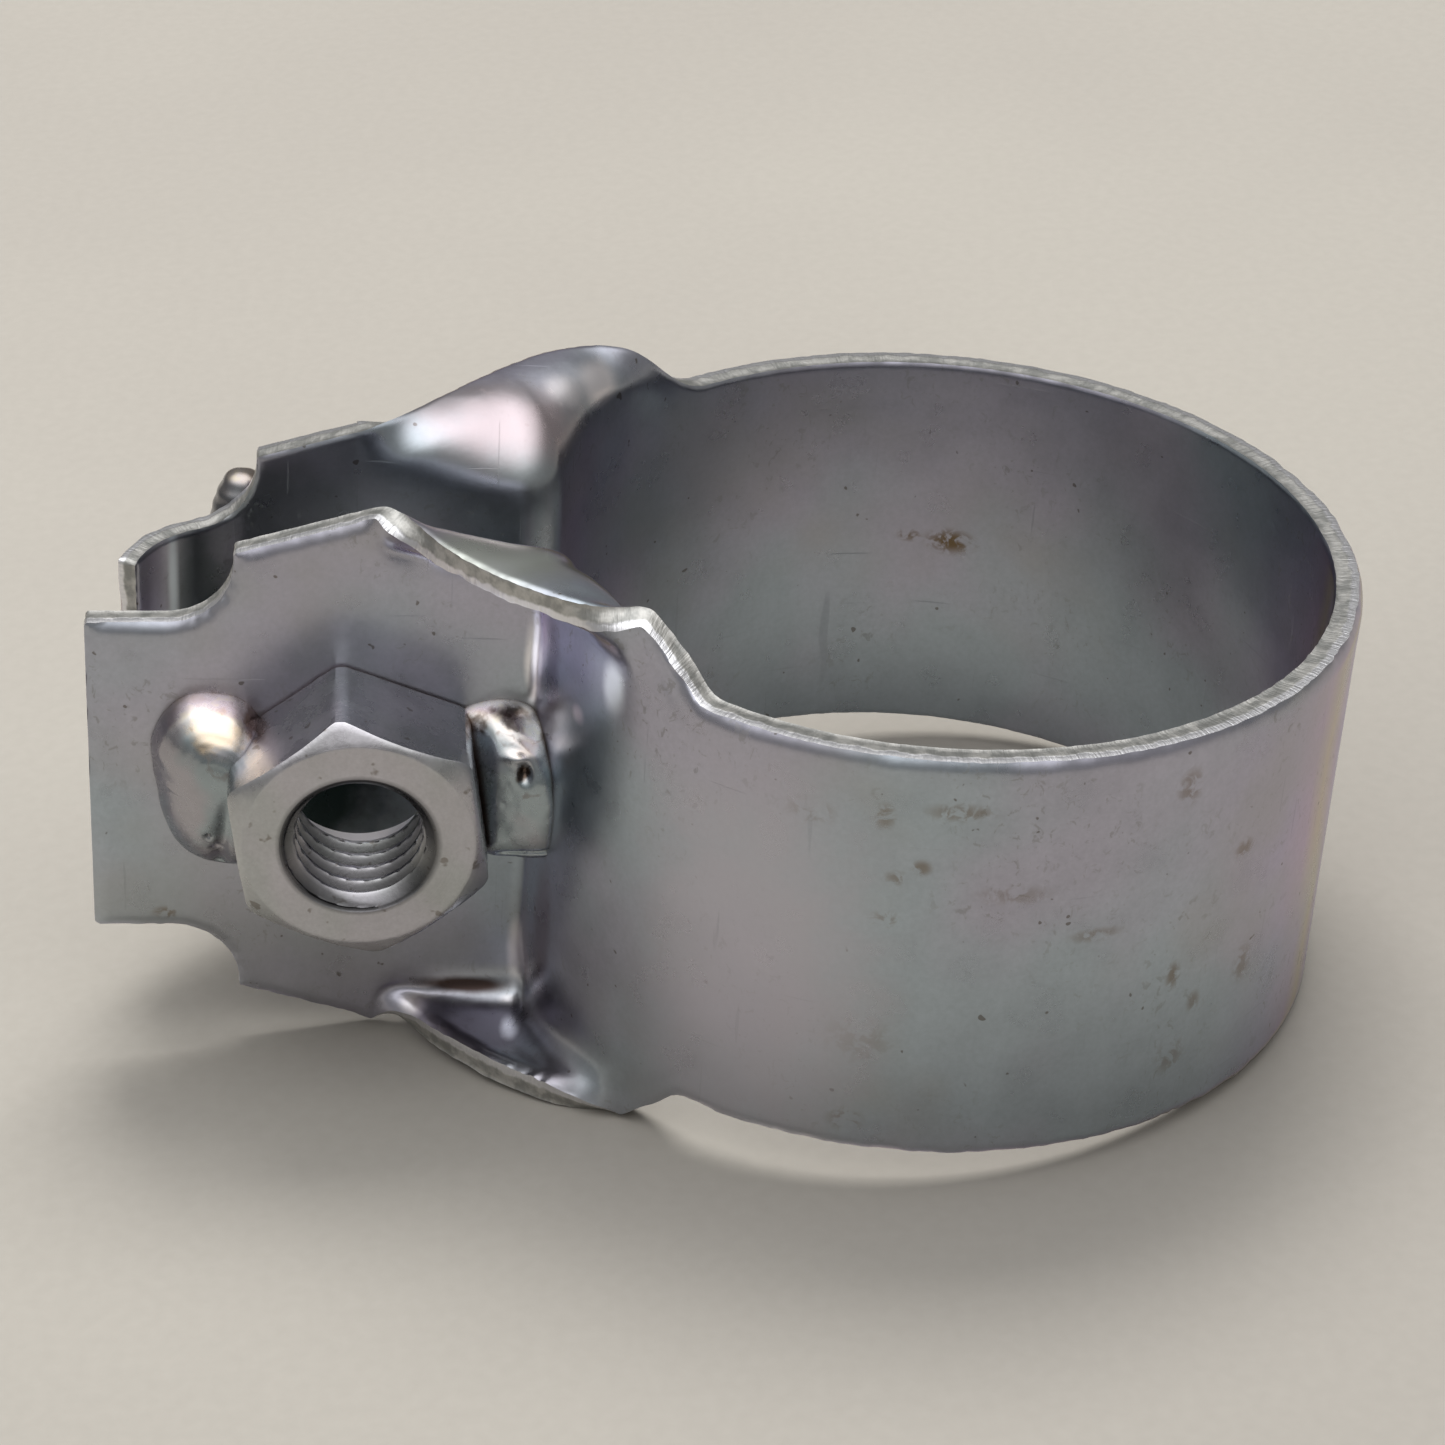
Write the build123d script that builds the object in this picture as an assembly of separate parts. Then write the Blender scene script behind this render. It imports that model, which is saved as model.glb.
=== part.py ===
from build123d import *
import math
import os

os.makedirs("parts", exist_ok=True)

# One-piece stamped band clamp for a 52 mm pipe, with a welded M10 nut.
# Frame: origin at the ring's centre, half way up the band; +Z along the pipe;
# the ears reach towards -X; the nut's ear is on the -Y side, the plate's on the +Y side.
# Millimetres.

# ring
R_OUT = 28.0          # outside radius
SHEET = 2.0           # sheet thickness
R_IN = R_OUT - SHEET  # bore radius
R_MID = R_IN + SHEET / 2
HALF_W = 15.0         # half the band's width
PART_GAP = 0.2        # gap between the two halves, at the +X end of the ring

# ears
EAR_X = -42.0         # point on the plate ear's outer face, mirrored for the nut ear
EAR_Y = 7.6
EAR_TILT = math.radians(1.6)  # each ear leans outwards towards its tip
TIP_X = -56.2         # end of the nut ear's tab
BEND_IN = 1.0         # concave radius between ring and ear
BEND_OUT = BEND_IN + SHEET
HOLE_R = 5.5          # clearance hole in each ear and in the plate

# side outline of the sheet, as half heights
TAB_HALF = 11.9
NOTCH_R = 4.5         # radius at the root of the tab
NOTCH_NUT_X = -46.5   # shoulder of the nut ear
NOTCH_PLATE_X = -45.7  # shoulder of the plate ear
SHOULDER_Z = 17.1
WEB_TOP = 19.7        # outside of the folded web
SECTION_REACH = 22.0  # extrusion each way along Z, past the webs
OUTLINE_REACH = 60.0  # extrusion each way along Y, past the ring

# inward curl of the plate ear's tab
CURL_X = -46.2        # where the flat ear ends
CURL_TIP_HALF = 0.8   # half the sheet thickness at the curl's tip
CURL_STEPS = 12

# nut
NUT_X = -38.4
NUT_AF = 16.0         # across flats
NUT_H = 8.0
NUT_TURN = 8.3        # degrees the upper corner leans towards the tip
THREAD_R = 4.188      # minor radius, M10 x 1.5
CSK_R = 5.0
CSK_DEPTH = 0.8
NUT_CHAMFER_R = 7.65
NUT_CHAMFER_ANGLE = 30
ENVELOPE_MARGIN = 0.2  # chamfer envelope's radius beyond the hexagon's corners

# backing plate
PLATE_X0 = -46.2
PLATE_X1 = -30.6
PLATE_HALF_Z = 11.5
PLATE_T = 4.0
PLATE_CORNER_R = 1.5

# weld beads
BEAD_INNER_Y = 7.3    # beads are cut off on the mid plane's side of this distance
BEAD_BOX = 60.0       # side of the box that keeps the outer part
NUT_BLOCK_EXTRA = 8.0  # height of the bead cutter beyond the nut
MIN_VOLUME = 1.0      # smaller solids are not exported

NUT_SIDE, PLATE_SIDE = -1, 1  # sign of Y
ON_BASE = (Align.CENTER, Align.CENTER, Align.MIN)


def ear_y(x, depth=0.0):
    """Distance from the mid plane to the ear's outer face at x, less depth into the sheet."""
    return EAR_Y + (EAR_X - x) * math.tan(EAR_TILT) - depth / math.cos(EAR_TILT)


def face_of(points):
    return Face(Wire.make_polygon([Vector(*point) for point in points], close=True))


def mirror_y(shape):
    return mirror(shape, about=Plane.XZ)


def arc_about(centre, start, middle, end, radius):
    """Arc about a centre through three unit directions."""
    return ThreePointArc(*(centre + way * radius for way in (start, middle, end)))


# --- sections across the pipe's axis ---
def bend_centre():
    """Shared centre of both bend radii on the nut side, BEND_IN off the ear and the ring."""
    radius = R_OUT + BEND_IN
    x = -radius
    for _ in range(60):
        y = -(ear_y(x) + BEND_IN / math.cos(EAR_TILT))
        x = -math.sqrt(radius**2 - y**2)
    return Vector(x, y, 0)


def make_nut_section():
    bend = bend_centre()
    to_ear = Vector(-math.sin(EAR_TILT), math.cos(EAR_TILT), 0)
    to_ring = (bend * -1.0).normalized()
    halfway = (to_ear + to_ring).normalized()
    ring_end = math.atan2(bend.Y, bend.X)  # where the bend leaves the ring

    def on_ring(radius, angle):
        return (radius * math.cos(angle), radius * math.sin(angle))

    def ring_arc(radius, start, end):
        return ThreePointArc(
            on_ring(radius, start), on_ring(radius, ring_end / 2), on_ring(radius, end)
        )

    tip_outer = (TIP_X, -ear_y(TIP_X))
    tip_inner = (TIP_X, -ear_y(TIP_X, SHEET))
    return make_face(
        [
            ring_arc(R_OUT, 0, ring_end),
            arc_about(bend, to_ring, halfway, to_ear, BEND_IN),
            Line(bend + to_ear * BEND_IN, tip_outer),
            Line(tip_outer, tip_inner),
            Line(tip_inner, bend + to_ear * BEND_OUT),
            arc_about(bend, to_ear, halfway, to_ring, BEND_OUT),
            ring_arc(R_IN, ring_end, 0),
            Line(on_ring(R_IN, 0), on_ring(R_OUT, 0)),
        ]
    )


# centre line of the curl, (x, y) from the flat ear to the tip
CURL = [
    (CURL_X, ear_y(CURL_X) - SHEET / 2),
    (-48.5, 6.3),
    (-50.5, 5.5),
    (-52.2, 4.2),
    (-53.35, 2.6),
    (-54.15, 0.5),
]
CURL_TANGENTS = ((-1, math.tan(EAR_TILT) * 0.2), (-0.35, -1))


def make_curl():
    """Curled end of the plate ear, thinning slightly towards its tip."""
    centre_line = Spline(*CURL, tangents=CURL_TANGENTS)
    inner, outer = [], []
    for i in range(CURL_STEPS + 1):
        along = i / CURL_STEPS
        point, heading = centre_line @ along, centre_line % along
        half = SHEET / 2 - (SHEET / 2 - CURL_TIP_HALF) * along
        inner.append((point.X - heading.Y * half, point.Y + heading.X * half))
        outer.append((point.X + heading.Y * half, point.Y - heading.X * half))
    return make_face(
        [
            Spline(*inner),
            Line(inner[-1], outer[-1]),
            Spline(*outer[::-1]),
            Line(outer[0], inner[0]),
        ]
    )


def make_plate_section(nut_section):
    """The nut section mirrored, with the curl in place of the flat tab."""
    section = mirror_y(nut_section) - Location((CURL_X - 20, 0, 0)) * Rectangle(40, 60)
    return (section + make_curl()).clean()


# --- the two halves of the band ---
def outline(notch_x):
    """Side outline of the sheet, across the mid plane."""
    upper = [  # (x, z) from behind the ring to beyond the tip
        (40, HALF_W),
        (-15.0, HALF_W),
        (-16.6, 16.4),
        (-18.9, 18.9),
        (-20.5, WEB_TOP),
        (-37.2, WEB_TOP),
        (notch_x, SHOULDER_Z),
        (notch_x, TAB_HALF),
        (TIP_X - 5, TAB_HALF),
    ]
    lower = [(x, -z) for x, z in reversed(upper)]
    return Plane.XZ * face_of(upper + lower)


def tab_root(notch_x, sign):
    """Concave corner between tab and shoulder, overlapping the shoulder slightly."""
    x_in, x_tip = notch_x + 0.01, notch_x - NOTCH_R
    z_tab = sign * TAB_HALF
    z_far = z_tab + sign * NOTCH_R
    square = face_of([(x_in, z_tab), (x_tip, z_tab), (x_tip, z_far), (x_in, z_far)])
    return Plane.XZ * (square - Location((x_tip, z_far, 0)) * Circle(NOTCH_R))


# folded web across the corner between ear and ring, nut side
WEB_EAR_X = -37.0     # end on the ear
WEB_RING_X = -20.0    # end on the ring
WEB = [  # (x, y): outer edge from ear to ring, then back inside the sheet
    (WEB_EAR_X, -ear_y(WEB_EAR_X)),
    (-33.3, -10.9),
    (-28.0, -15.5),
    (-26.2, -16.8),
    (-24.0, -17.9),
    (-20.5, -19.05),
    (WEB_RING_X, -12.0),
    (-24.0, -6.6),
    (WEB_EAR_X, -ear_y(WEB_EAR_X) + SHEET / 2),
]


def make_webs():
    """Upper and lower web of the nut side."""
    web = face_of(WEB) - Circle(R_MID)
    web = web - Location((WEB_RING_X / 2, 0, 0)) * Rectangle(-WEB_RING_X, 80)
    return [
        extrude(Location((0, 0, z)) * web, amount=SHEET).solids()[0]
        for z in (WEB_TOP - SHEET, -WEB_TOP)
    ]


def bolt_plane(side):
    """Plane on an ear's outer face at the bolt: x towards the tip, z outwards."""
    sin, cos = math.sin(EAR_TILT), math.cos(EAR_TILT)
    return Plane(
        origin=Vector(NUT_X, side * ear_y(NUT_X), 0),
        x_dir=Vector(-cos, side * sin, 0),
        z_dir=Vector(sin, side * cos, 0),
    )


def make_band(section, notch_x, webs, bolt):
    body = extrude(section, amount=SECTION_REACH, both=True)
    band = body & extrude(outline(notch_x), amount=OUTLINE_REACH, both=True)
    for sign in (1, -1):
        root = extrude(tab_root(notch_x, sign), amount=OUTLINE_REACH, both=True)
        band = band + (body & root)
    for web in webs:
        band = band + web
    band = band.clean()
    band = band - bolt * Cylinder(HOLE_R, 12)
    return band - Location((R_MID, 0, 0)) * Box(12, PART_GAP, 80)


# --- hexagon nut ---
def hexagon_prism(height):
    hexagon = RegularPolygon(NUT_AF / 2, 6, major_radius=False)
    return extrude(Rotation(0, 0, 90 + NUT_TURN) * hexagon, amount=height)


def make_nut():
    # corner chamfer on the outer face
    radius = NUT_AF / math.sqrt(3) + ENVELOPE_MARGIN
    drop = (radius - NUT_CHAMFER_R) * math.tan(math.radians(NUT_CHAMFER_ANGLE))
    envelope = Cylinder(radius, NUT_H - drop, align=ON_BASE)
    envelope = envelope + Location((0, 0, NUT_H - drop)) * Cone(
        radius, NUT_CHAMFER_R, drop, align=ON_BASE
    )
    nut = hexagon_prism(NUT_H) & envelope
    nut = nut - Cylinder(THREAD_R, 40)
    # countersinks, outer face then seat
    nut = nut - Location((0, 0, NUT_H - CSK_DEPTH)) * Cone(
        THREAD_R, CSK_R, CSK_DEPTH, align=ON_BASE
    )
    return nut - Cone(CSK_R, THREAD_R, CSK_DEPTH, align=ON_BASE)


# --- backing plate on the plate ear ---
def make_plate():
    along_ear = (NUT_X - (PLATE_X0 + PLATE_X1) / 2) / math.cos(EAR_TILT)
    plate = Location((along_ear, 0, 0)) * Box(
        PLATE_X1 - PLATE_X0, 2 * PLATE_HALF_Z, PLATE_T, align=ON_BASE
    )
    plate = fillet(plate.edges().filter_by(Axis.Z), PLATE_CORNER_R)
    return plate - Cylinder(HOLE_R, 40)


# --- weld beads: round-ended rolls, cut back to the faces they join ---
def make_bead(side, centre, radius, half_len, cutters):
    roll = Cylinder(radius, 2 * half_len)
    for z in (half_len, -half_len):
        roll = roll + Location((0, 0, z)) * Sphere(radius)
    outside_y = side * (BEAD_BOX / 2 + BEAD_INNER_Y)
    outside = Location((EAR_X, outside_y, 0)) * Box(BEAD_BOX, BEAD_BOX, BEAD_BOX)
    bead = (Location(centre) * roll) & outside
    for cutter in cutters:
        bead = bead - cutter
    return sorted(bead.solids(), key=lambda solid: solid.volume)[-1]


# --- build ---
nut_bolt = bolt_plane(NUT_SIDE)
plate_bolt = bolt_plane(PLATE_SIDE)
nut_section = make_nut_section()
plate_section = make_plate_section(nut_section)
webs = make_webs()
mirrored_webs = [mirror_y(web) for web in webs]

nut_band = make_band(nut_section, NOTCH_NUT_X, webs, nut_bolt)
plate_band = make_band(plate_section, NOTCH_PLATE_X, mirrored_webs, plate_bolt)
backing_plate = plate_bolt * make_plate()

# what the beads are cut back to; the nut counts as a plain hexagon
nut_cutters = [nut_bolt * hexagon_prism(NUT_H + NUT_BLOCK_EXTRA), nut_band]
plate_cutters = [backing_plate, plate_band]
ring_core = [Cylinder(R_MID, 60)]

# beads: side, centre, radius, half length, cutters; left is towards the ears' tips
pieces = {
    "band_nut_half": nut_band,
    "band_plate_half": plate_band,
    "hex_nut": nut_bolt * make_nut(),
    "nut_weld_left": make_bead(NUT_SIDE, (-47.8, -7.9, 0.1), 4.3, 2.4, nut_cutters),
    "nut_weld_right": make_bead(
        NUT_SIDE, (-28.3, -8.9, 0.2), 3.4, 2.8, nut_cutters + ring_core
    ),
    "backing_plate": backing_plate,
    "plate_weld_left": make_bead(PLATE_SIDE, (-46.5, 8.95, 1.7), 2.7, 10.0, plate_cutters),
    "plate_weld_right": make_bead(
        PLATE_SIDE, (-29.4, 8.0, 0.0), 3.2, 5.5, plate_cutters + ring_core
    ),
}
for name, shape in pieces.items():
    solids = [solid for solid in shape.solids() if solid.volume > MIN_VOLUME]
    piece = solids[0] if len(solids) == 1 else Compound(children=solids)
    export_step(piece, f"parts/{name}.step")
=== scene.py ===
"""Pipe repair clamp: a stamped sheet band, a welded nut, a backing plate and their weld beads.

The pipe's axis is Z and the band rings it. Its two ears reach out along -X: the nut half lies
at -Y, the plate half ("far" in the code) at +Y. Lengths are in mm until a mesh is made.
Each half of the band is worked out at -Y and z >= 0, then mirrored. Along the strip, s is the
distance from the nut ear's tip, through the ear, the bend and the ring.
"""
import math

import bmesh
import bpy
import numpy as np
from mathutils import Matrix, Vector


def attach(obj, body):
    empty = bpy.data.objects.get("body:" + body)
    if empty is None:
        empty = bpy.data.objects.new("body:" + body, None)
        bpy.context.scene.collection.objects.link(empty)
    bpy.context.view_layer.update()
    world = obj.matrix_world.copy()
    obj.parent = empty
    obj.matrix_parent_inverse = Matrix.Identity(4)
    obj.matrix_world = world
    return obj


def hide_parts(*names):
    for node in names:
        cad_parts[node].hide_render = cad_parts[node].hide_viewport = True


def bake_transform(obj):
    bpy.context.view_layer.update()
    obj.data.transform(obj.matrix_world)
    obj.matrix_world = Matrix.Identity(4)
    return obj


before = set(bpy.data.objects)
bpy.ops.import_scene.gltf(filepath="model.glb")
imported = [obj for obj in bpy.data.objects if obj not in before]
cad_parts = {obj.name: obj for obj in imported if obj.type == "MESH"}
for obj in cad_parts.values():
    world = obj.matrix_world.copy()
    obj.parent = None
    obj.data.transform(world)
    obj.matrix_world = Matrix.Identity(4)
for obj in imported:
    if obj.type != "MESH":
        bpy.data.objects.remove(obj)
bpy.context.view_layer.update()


# ---------------------------------------------------------------- dimensions, mm
SHEET = 2.0
R_OUT = 28.0
R_IN = R_OUT - SHEET
R_MID = R_OUT - SHEET / 2
HALF_WIDTH = 15.0                 # of the ring, along Z
TILT = math.radians(1.6)          # each ear leans away from the other towards its tip
TILT_COS, TILT_SIN = math.cos(TILT), math.sin(TILT)
EAR_X, EAR_Y = -42.0, 7.6         # a point on the ear's outer side
TIP_X = -56.2
TAB_HALF = 11.9                   # half width of the tab at the ear's end
TAB_CORNER_R = 0.35
NOTCH_R = 4.5                     # hollow corner between tab and shoulder
SHOULDER_Z, SHOULDER_R = 17.1, 0.3
NOTCH_X = {False: -46.5, True: -45.7}
BEND_IN = 1.0                     # bend radii of the outer and bore sides
BEND_OUT = BEND_IN + SHEET
BEND_MID = BEND_IN + SHEET / 2
BEND_LEAN = 0.036                 # shift in x per mm of z at the nut half's bend
NUT_X, NUT_H, NUT_AF = -38.4, 8.0, 16.0
HOLE_R = 5.5
HOLE_BLOCK = 6.9                  # half size of the grid block left out round the bolt hole
ROLL_W, ROLL_D = 1.0, 0.36        # rolled-over outer edge of the sheet
BURR_W, BURR_D = 0.4, 0.13        # the smaller one on the bore side
WELD_SINK = 0.8                   # deepest that a bead goes into the sheet


def ear_y(x):
    """Distance of the ear's outer side from the mid plane."""
    return EAR_Y + (EAR_X - x) * math.tan(TILT)


# ---------------------------------------------------------------- numeric helpers
def clamp(v):
    return np.clip(v, 0, 1)


def ease(t):
    return t * t * (3 - 2 * t)


def ramp_up(v, low, high):
    """Smooth step from 0 at low to 1 at high."""
    return ease(clamp((v - low) / (high - low)))


def bell(*offsets):
    return np.exp(-sum(offset**2 for offset in offsets))


def unit(v):
    return v / np.maximum(np.linalg.norm(v, axis=-1, keepdims=True), 1e-12)


def polar(angle):
    return np.stack([np.cos(angle), np.sin(angle)], -1)


def running_length(line):
    return np.concatenate([[0], np.cumsum(np.linalg.norm(np.diff(line, axis=0), axis=1))])


def interp_rows(at, known, rows):
    """Each column of rows, given at known, read at new places."""
    return np.stack([np.interp(at, known, column) for column in rows.T], -1)


def pchip(xs, ys):
    """Monotone cubic through the points; returns f(x)."""
    xs, ys = np.asarray(xs, float), np.asarray(ys, float)
    step = np.diff(xs)
    rise = np.diff(ys) / step
    before, after = rise[:-1], rise[1:]
    total = np.where(before + after == 0, 1, before + after)
    slope = np.zeros_like(ys)
    slope[1:-1] = np.where(before * after > 0, 2 * before * after / total, 0)
    slope[0], slope[-1] = rise[0], rise[-1]

    def f(x):
        x = np.clip(np.asarray(x, float), xs[0], xs[-1])
        i = np.clip(np.searchsorted(xs, x, side="right") - 1, 0, len(xs) - 2)
        t = (x - xs[i]) / step[i]
        return (
            ys[i] * (1 + 2 * t) * (1 - t) ** 2
            + step[i] * slope[i] * t * (1 - t) ** 2
            + ys[i + 1] * t * t * (3 - 2 * t)
            + step[i] * slope[i + 1] * t * t * (t - 1)
        )

    return f


def gauss_smooth(xs, ys, sigma):
    """Gaussian smoothing of samples ys at even positions xs."""
    step = xs[1] - xs[0]
    n = max(1, int(3 * sigma / step))
    kernel = np.exp(-0.5 * (np.arange(-n, n + 1) * step / sigma) ** 2)
    kernel /= kernel.sum()
    left = 2 * ys[0] - ys[n:0:-1]
    right = 2 * ys[-1] - ys[-2 : -n - 2 : -1]
    return np.convolve(np.concatenate([left, ys, right]), kernel, "valid")


def catmull(points, steps):
    """Catmull-Rom curve from the second point up to the last but one, which is left out."""
    t = np.linspace(0, 1, steps, endpoint=False)[:, None]
    spans = []
    for a, b, c, d in zip(points, points[1:], points[2:], points[3:]):
        cubic = 3 * b - a - 3 * c + d
        spans.append(
            0.5 * (2 * b + (c - a) * t + (2 * a - 5 * b + 4 * c - d) * t**2 + cubic * t**3)
        )
    return np.vstack(spans)


def bezier(p0, p1, p2, p3, n=48):
    t = np.linspace(0, 1, n)[:, None]
    return (1 - t) ** 3 * p0 + 3 * t * (1 - t) ** 2 * p1 + 3 * t * t * (1 - t) * p2 + t**3 * p3


def scramble(key):
    """Repeatable value in -1..1 for each key."""
    v = np.sin(key) * 43758.5453
    return 2 * (v - np.floor(v)) - 1


def hash_noise(i, seed):
    return scramble(np.asarray(i, float) * 127.1 + seed * 311.7)


def noise1(x, seed):
    """Smooth 1-D noise in -1..1, period 1."""
    cell = np.floor(x)
    t = ease(x - cell)
    return hash_noise(cell, seed) * (1 - t) + hash_noise(cell + 1, seed) * t


def noise3(points, seed):
    """Smooth 3-D noise in -1..1, period 1."""
    cell = np.floor(points)
    t = ease(points - cell)
    x, y, z = (cell[..., k] for k in range(3))
    out = np.zeros(points.shape[:-1])
    for corner in np.ndindex(2, 2, 2):
        a, b, c = corner
        key = (x + a) * 157.31 + (y + b) * 311.17 + (z + c) * 74.71 + seed * 19.19
        weight = 1.0
        for k in range(3):
            weight = weight * (t[..., k] if corner[k] else 1 - t[..., k])
        out += scramble(key) * weight
    return out


# ---------------------------------------------------------------- strip, seen along the pipe
def bend_centre():
    """Centre of the bend that touches both the ear and the ring."""
    x = -(R_OUT + BEND_IN)
    for _ in range(60):
        y = -(ear_y(x) + BEND_IN / TILT_COS)
        x = -math.sqrt((R_OUT + BEND_IN) ** 2 - y**2)
    return np.array([x, y])


TIP_OUTER = np.array([TIP_X, -ear_y(TIP_X)])
EAR_DIR = np.array([TILT_COS, TILT_SIN])       # from the tip to the bend
EAR_BORE = np.array([-TILT_SIN, TILT_COS])     # across the sheet, towards the other ear
BEND = bend_centre()
BEND_START = math.atan2(EAR_BORE[1], EAR_BORE[0])
BEND_TURN = BEND_START - math.atan2(-BEND[1], -BEND[0])
RING_START = math.atan2(BEND[1], BEND[0])
S_BEND = float((BEND - TIP_OUTER) @ EAR_DIR)
S_RING = S_BEND + BEND_MID * BEND_TURN
S_END = S_RING + R_MID * -RING_START           # middle of the ring, opposite the ears


def x_to_s(x):
    return (x - TIP_X) / TILT_COS


# centre line (x, y) of the plate ear's tab, which curls in towards the nut's ear
CURL_X = -46.2 + 0.6
CURL = np.array([
    (CURL_X, -(ear_y(CURL_X) - SHEET / 2)), (-46.9, -6.66), (-48.6, -6.28), (-50.4, -5.55),
    (-52.1, -4.25), (-53.3, -2.6), (-54.15, -0.55),
])
CURL_LINE = np.vstack([
    catmull(np.vstack([2 * CURL[0] - CURL[1], CURL, 2 * CURL[-1] - CURL[-2]]), steps=34),
    CURL[-1:],
])
CURL_AT = running_length(CURL_LINE)
CURL_TANGENT = unit(np.gradient(CURL_LINE, axis=0))
CURL_TANGENT[0] = -EAR_DIR
CURL_LENGTH = float(CURL_AT[-1])
CURL_THINNING = 0.16                           # off the half thickness at the tab's end
S_FLAT = x_to_s(CURL_X)


def section(s, far=False):
    """Outer and bore-side points (x, y) of the strip at s."""
    s = np.asarray(s, float)
    outer = TIP_OUTER + s[..., None] * EAR_DIR
    inner = outer + SHEET * EAR_BORE
    radial = polar(BEND_START - np.clip((s - S_BEND) / BEND_MID, 0, BEND_TURN))
    in_bend = (s > S_BEND)[..., None]
    outer = np.where(in_bend, BEND + BEND_IN * radial, outer)
    inner = np.where(in_bend, BEND + BEND_OUT * radial, inner)
    radial = polar(RING_START + np.clip(s - S_RING, 0, None) / R_MID)
    in_ring = (s > S_RING)[..., None]
    outer = np.where(in_ring, R_OUT * radial, outer)
    inner = np.where(in_ring, R_IN * radial, inner)
    if far:
        along = np.clip(S_FLAT - s, 0, CURL_LENGTH)
        centre = interp_rows(along, CURL_AT, CURL_LINE)
        tangent = unit(interp_rows(along, CURL_AT, CURL_TANGENT))
        across = np.stack([tangent[..., 1], -tangent[..., 0]], -1)
        half = (SHEET / 2 - CURL_THINNING * along / CURL_LENGTH)[..., None]
        in_curl = (s < S_FLAT)[..., None]
        outer = np.where(in_curl, centre - across * half, outer)
        inner = np.where(in_curl, centre + across * half, inner)
    return outer, inner


# ---------------------------------------------------------------- cut edge of the folded webs
# edge: x, y, z of the cut edge's bore-side corner
# place: s, and the edge's x there
# lean: s, and the sheet's angle from upright at the edge, degrees
# soft: smoothing length along s
NUT_WEB = dict(
    edge=[
        (-38.6, -5.50, 19.36), (-37.9, -5.52, 19.62), (-37.2, -5.60, 19.84),
        (-36.5, -5.85, 19.95), (-35.5, -6.75, 19.95), (-34.6, -8.05, 19.90),
        (-33.3, -10.15, 19.80), (-32.0, -11.70, 19.72), (-30.7, -12.98, 19.68),
        (-29.5, -14.12, 19.68), (-28.2, -15.05, 19.68), (-27.0, -15.87, 19.68),
        (-25.8, -16.60, 19.68), (-24.5, -17.13, 19.68), (-23.3, -17.45, 19.68),
        (-22.1, -17.55, 19.70), (-20.9, -17.48, 19.80), (-20.2, -17.62, 19.74),
        (-19.58, -17.92, 19.28), (-18.94, -18.25, 18.62), (-18.3, -18.65, 17.95),
        (-17.68, -19.12, 17.30), (-17.03, -19.65, 16.50), (-16.37, -20.20, 15.42),
        (-15.75, -20.70, 15.03), (-14.4, -21.65, 15.0),
    ],
    place=(
        [17.6, 18.3, 19.0, 19.7, 20.8, 21.9, 23.7, 25.9, 28.16, 30.4, 33.2, 35.6,
         38.0, 40.0, 41.6, 42.9, 43.7, 44.5, 45.3, 46.1, 46.9, 47.8, 48.6, 49.9],
        [-38.6, -37.9, -37.2, -36.5, -35.5, -34.6, -33.3, -32.0, -30.7, -29.5, -28.2, -27.0,
         -25.8, -24.5, -23.3, -22.1, -20.9, -20.2, -19.58, -18.6, -17.9, -17.03, -16.1, -14.4],
    ),
    lean=(
        [17.6, 19.4, 20.1, 21.1, 22.6, 24.2, 26.0, 29.0, 36.0,
         39.0, 41.0, 42.6, 43.7, 44.5, 45.3, 46.3, 47.5, 49.9],
        [0, 2, 16, 46, 76, 87, 93, 95, 94, 86, 71, 52, 38, 30, 24, 18, 8, 0],
    ),
    soft=0.28,
)
PLATE_WEB = dict(
    edge=[
        (-38.6, -5.52, 19.33), (-37.9, -5.68, 19.52), (-37.2, -6.20, 19.66),
        (-36.4, -7.00, 19.68), (-35.1, -8.50, 19.68), (-33.3, -10.42, 19.68),
        (-31.6, -12.12, 19.68), (-29.8, -13.80, 19.68), (-28.0, -15.28, 19.68),
        (-26.2, -16.55, 19.68), (-24.3, -17.42, 19.68), (-22.4, -17.95, 19.66),
        (-20.6, -18.15, 19.52), (-19.1, -18.55, 18.80), (-17.8, -19.20, 17.62),
        (-16.6, -20.05, 16.35), (-15.4, -20.95, 15.36), (-14.4, -21.65, 15.0),
    ],
    place=(
        [17.6, 18.3, 19.0, 19.9, 21.4, 23.6, 26.0, 28.16, 30.8, 33.5,
         37.0, 39.7, 41.3, 42.7, 43.9, 45.2, 46.8, 48.5, 49.9],
        [-38.6, -37.9, -37.2, -36.4, -35.2, -33.7, -32.2, -31.1, -29.6, -28.15,
         -26.0, -24.0, -22.4, -20.6, -19.1, -17.8, -16.6, -15.4, -14.4],
    ),
    lean=(
        [17.6, 18.4, 19.2, 20.2, 21.9, 23.8, 26.0, 37.0,
         39.7, 41.3, 42.7, 43.9, 45.2, 46.8, 48.5, 49.9],
        [0, 5, 22, 48, 74, 86, 92, 90, 80, 62, 44, 29, 15, 5, 1, 0],
    ),
    soft=0.45,
)
S_WEB0, S_WEB1 = 17.6, 49.9
WEB_S = np.linspace(S_WEB0, S_WEB1, 900)


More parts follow.
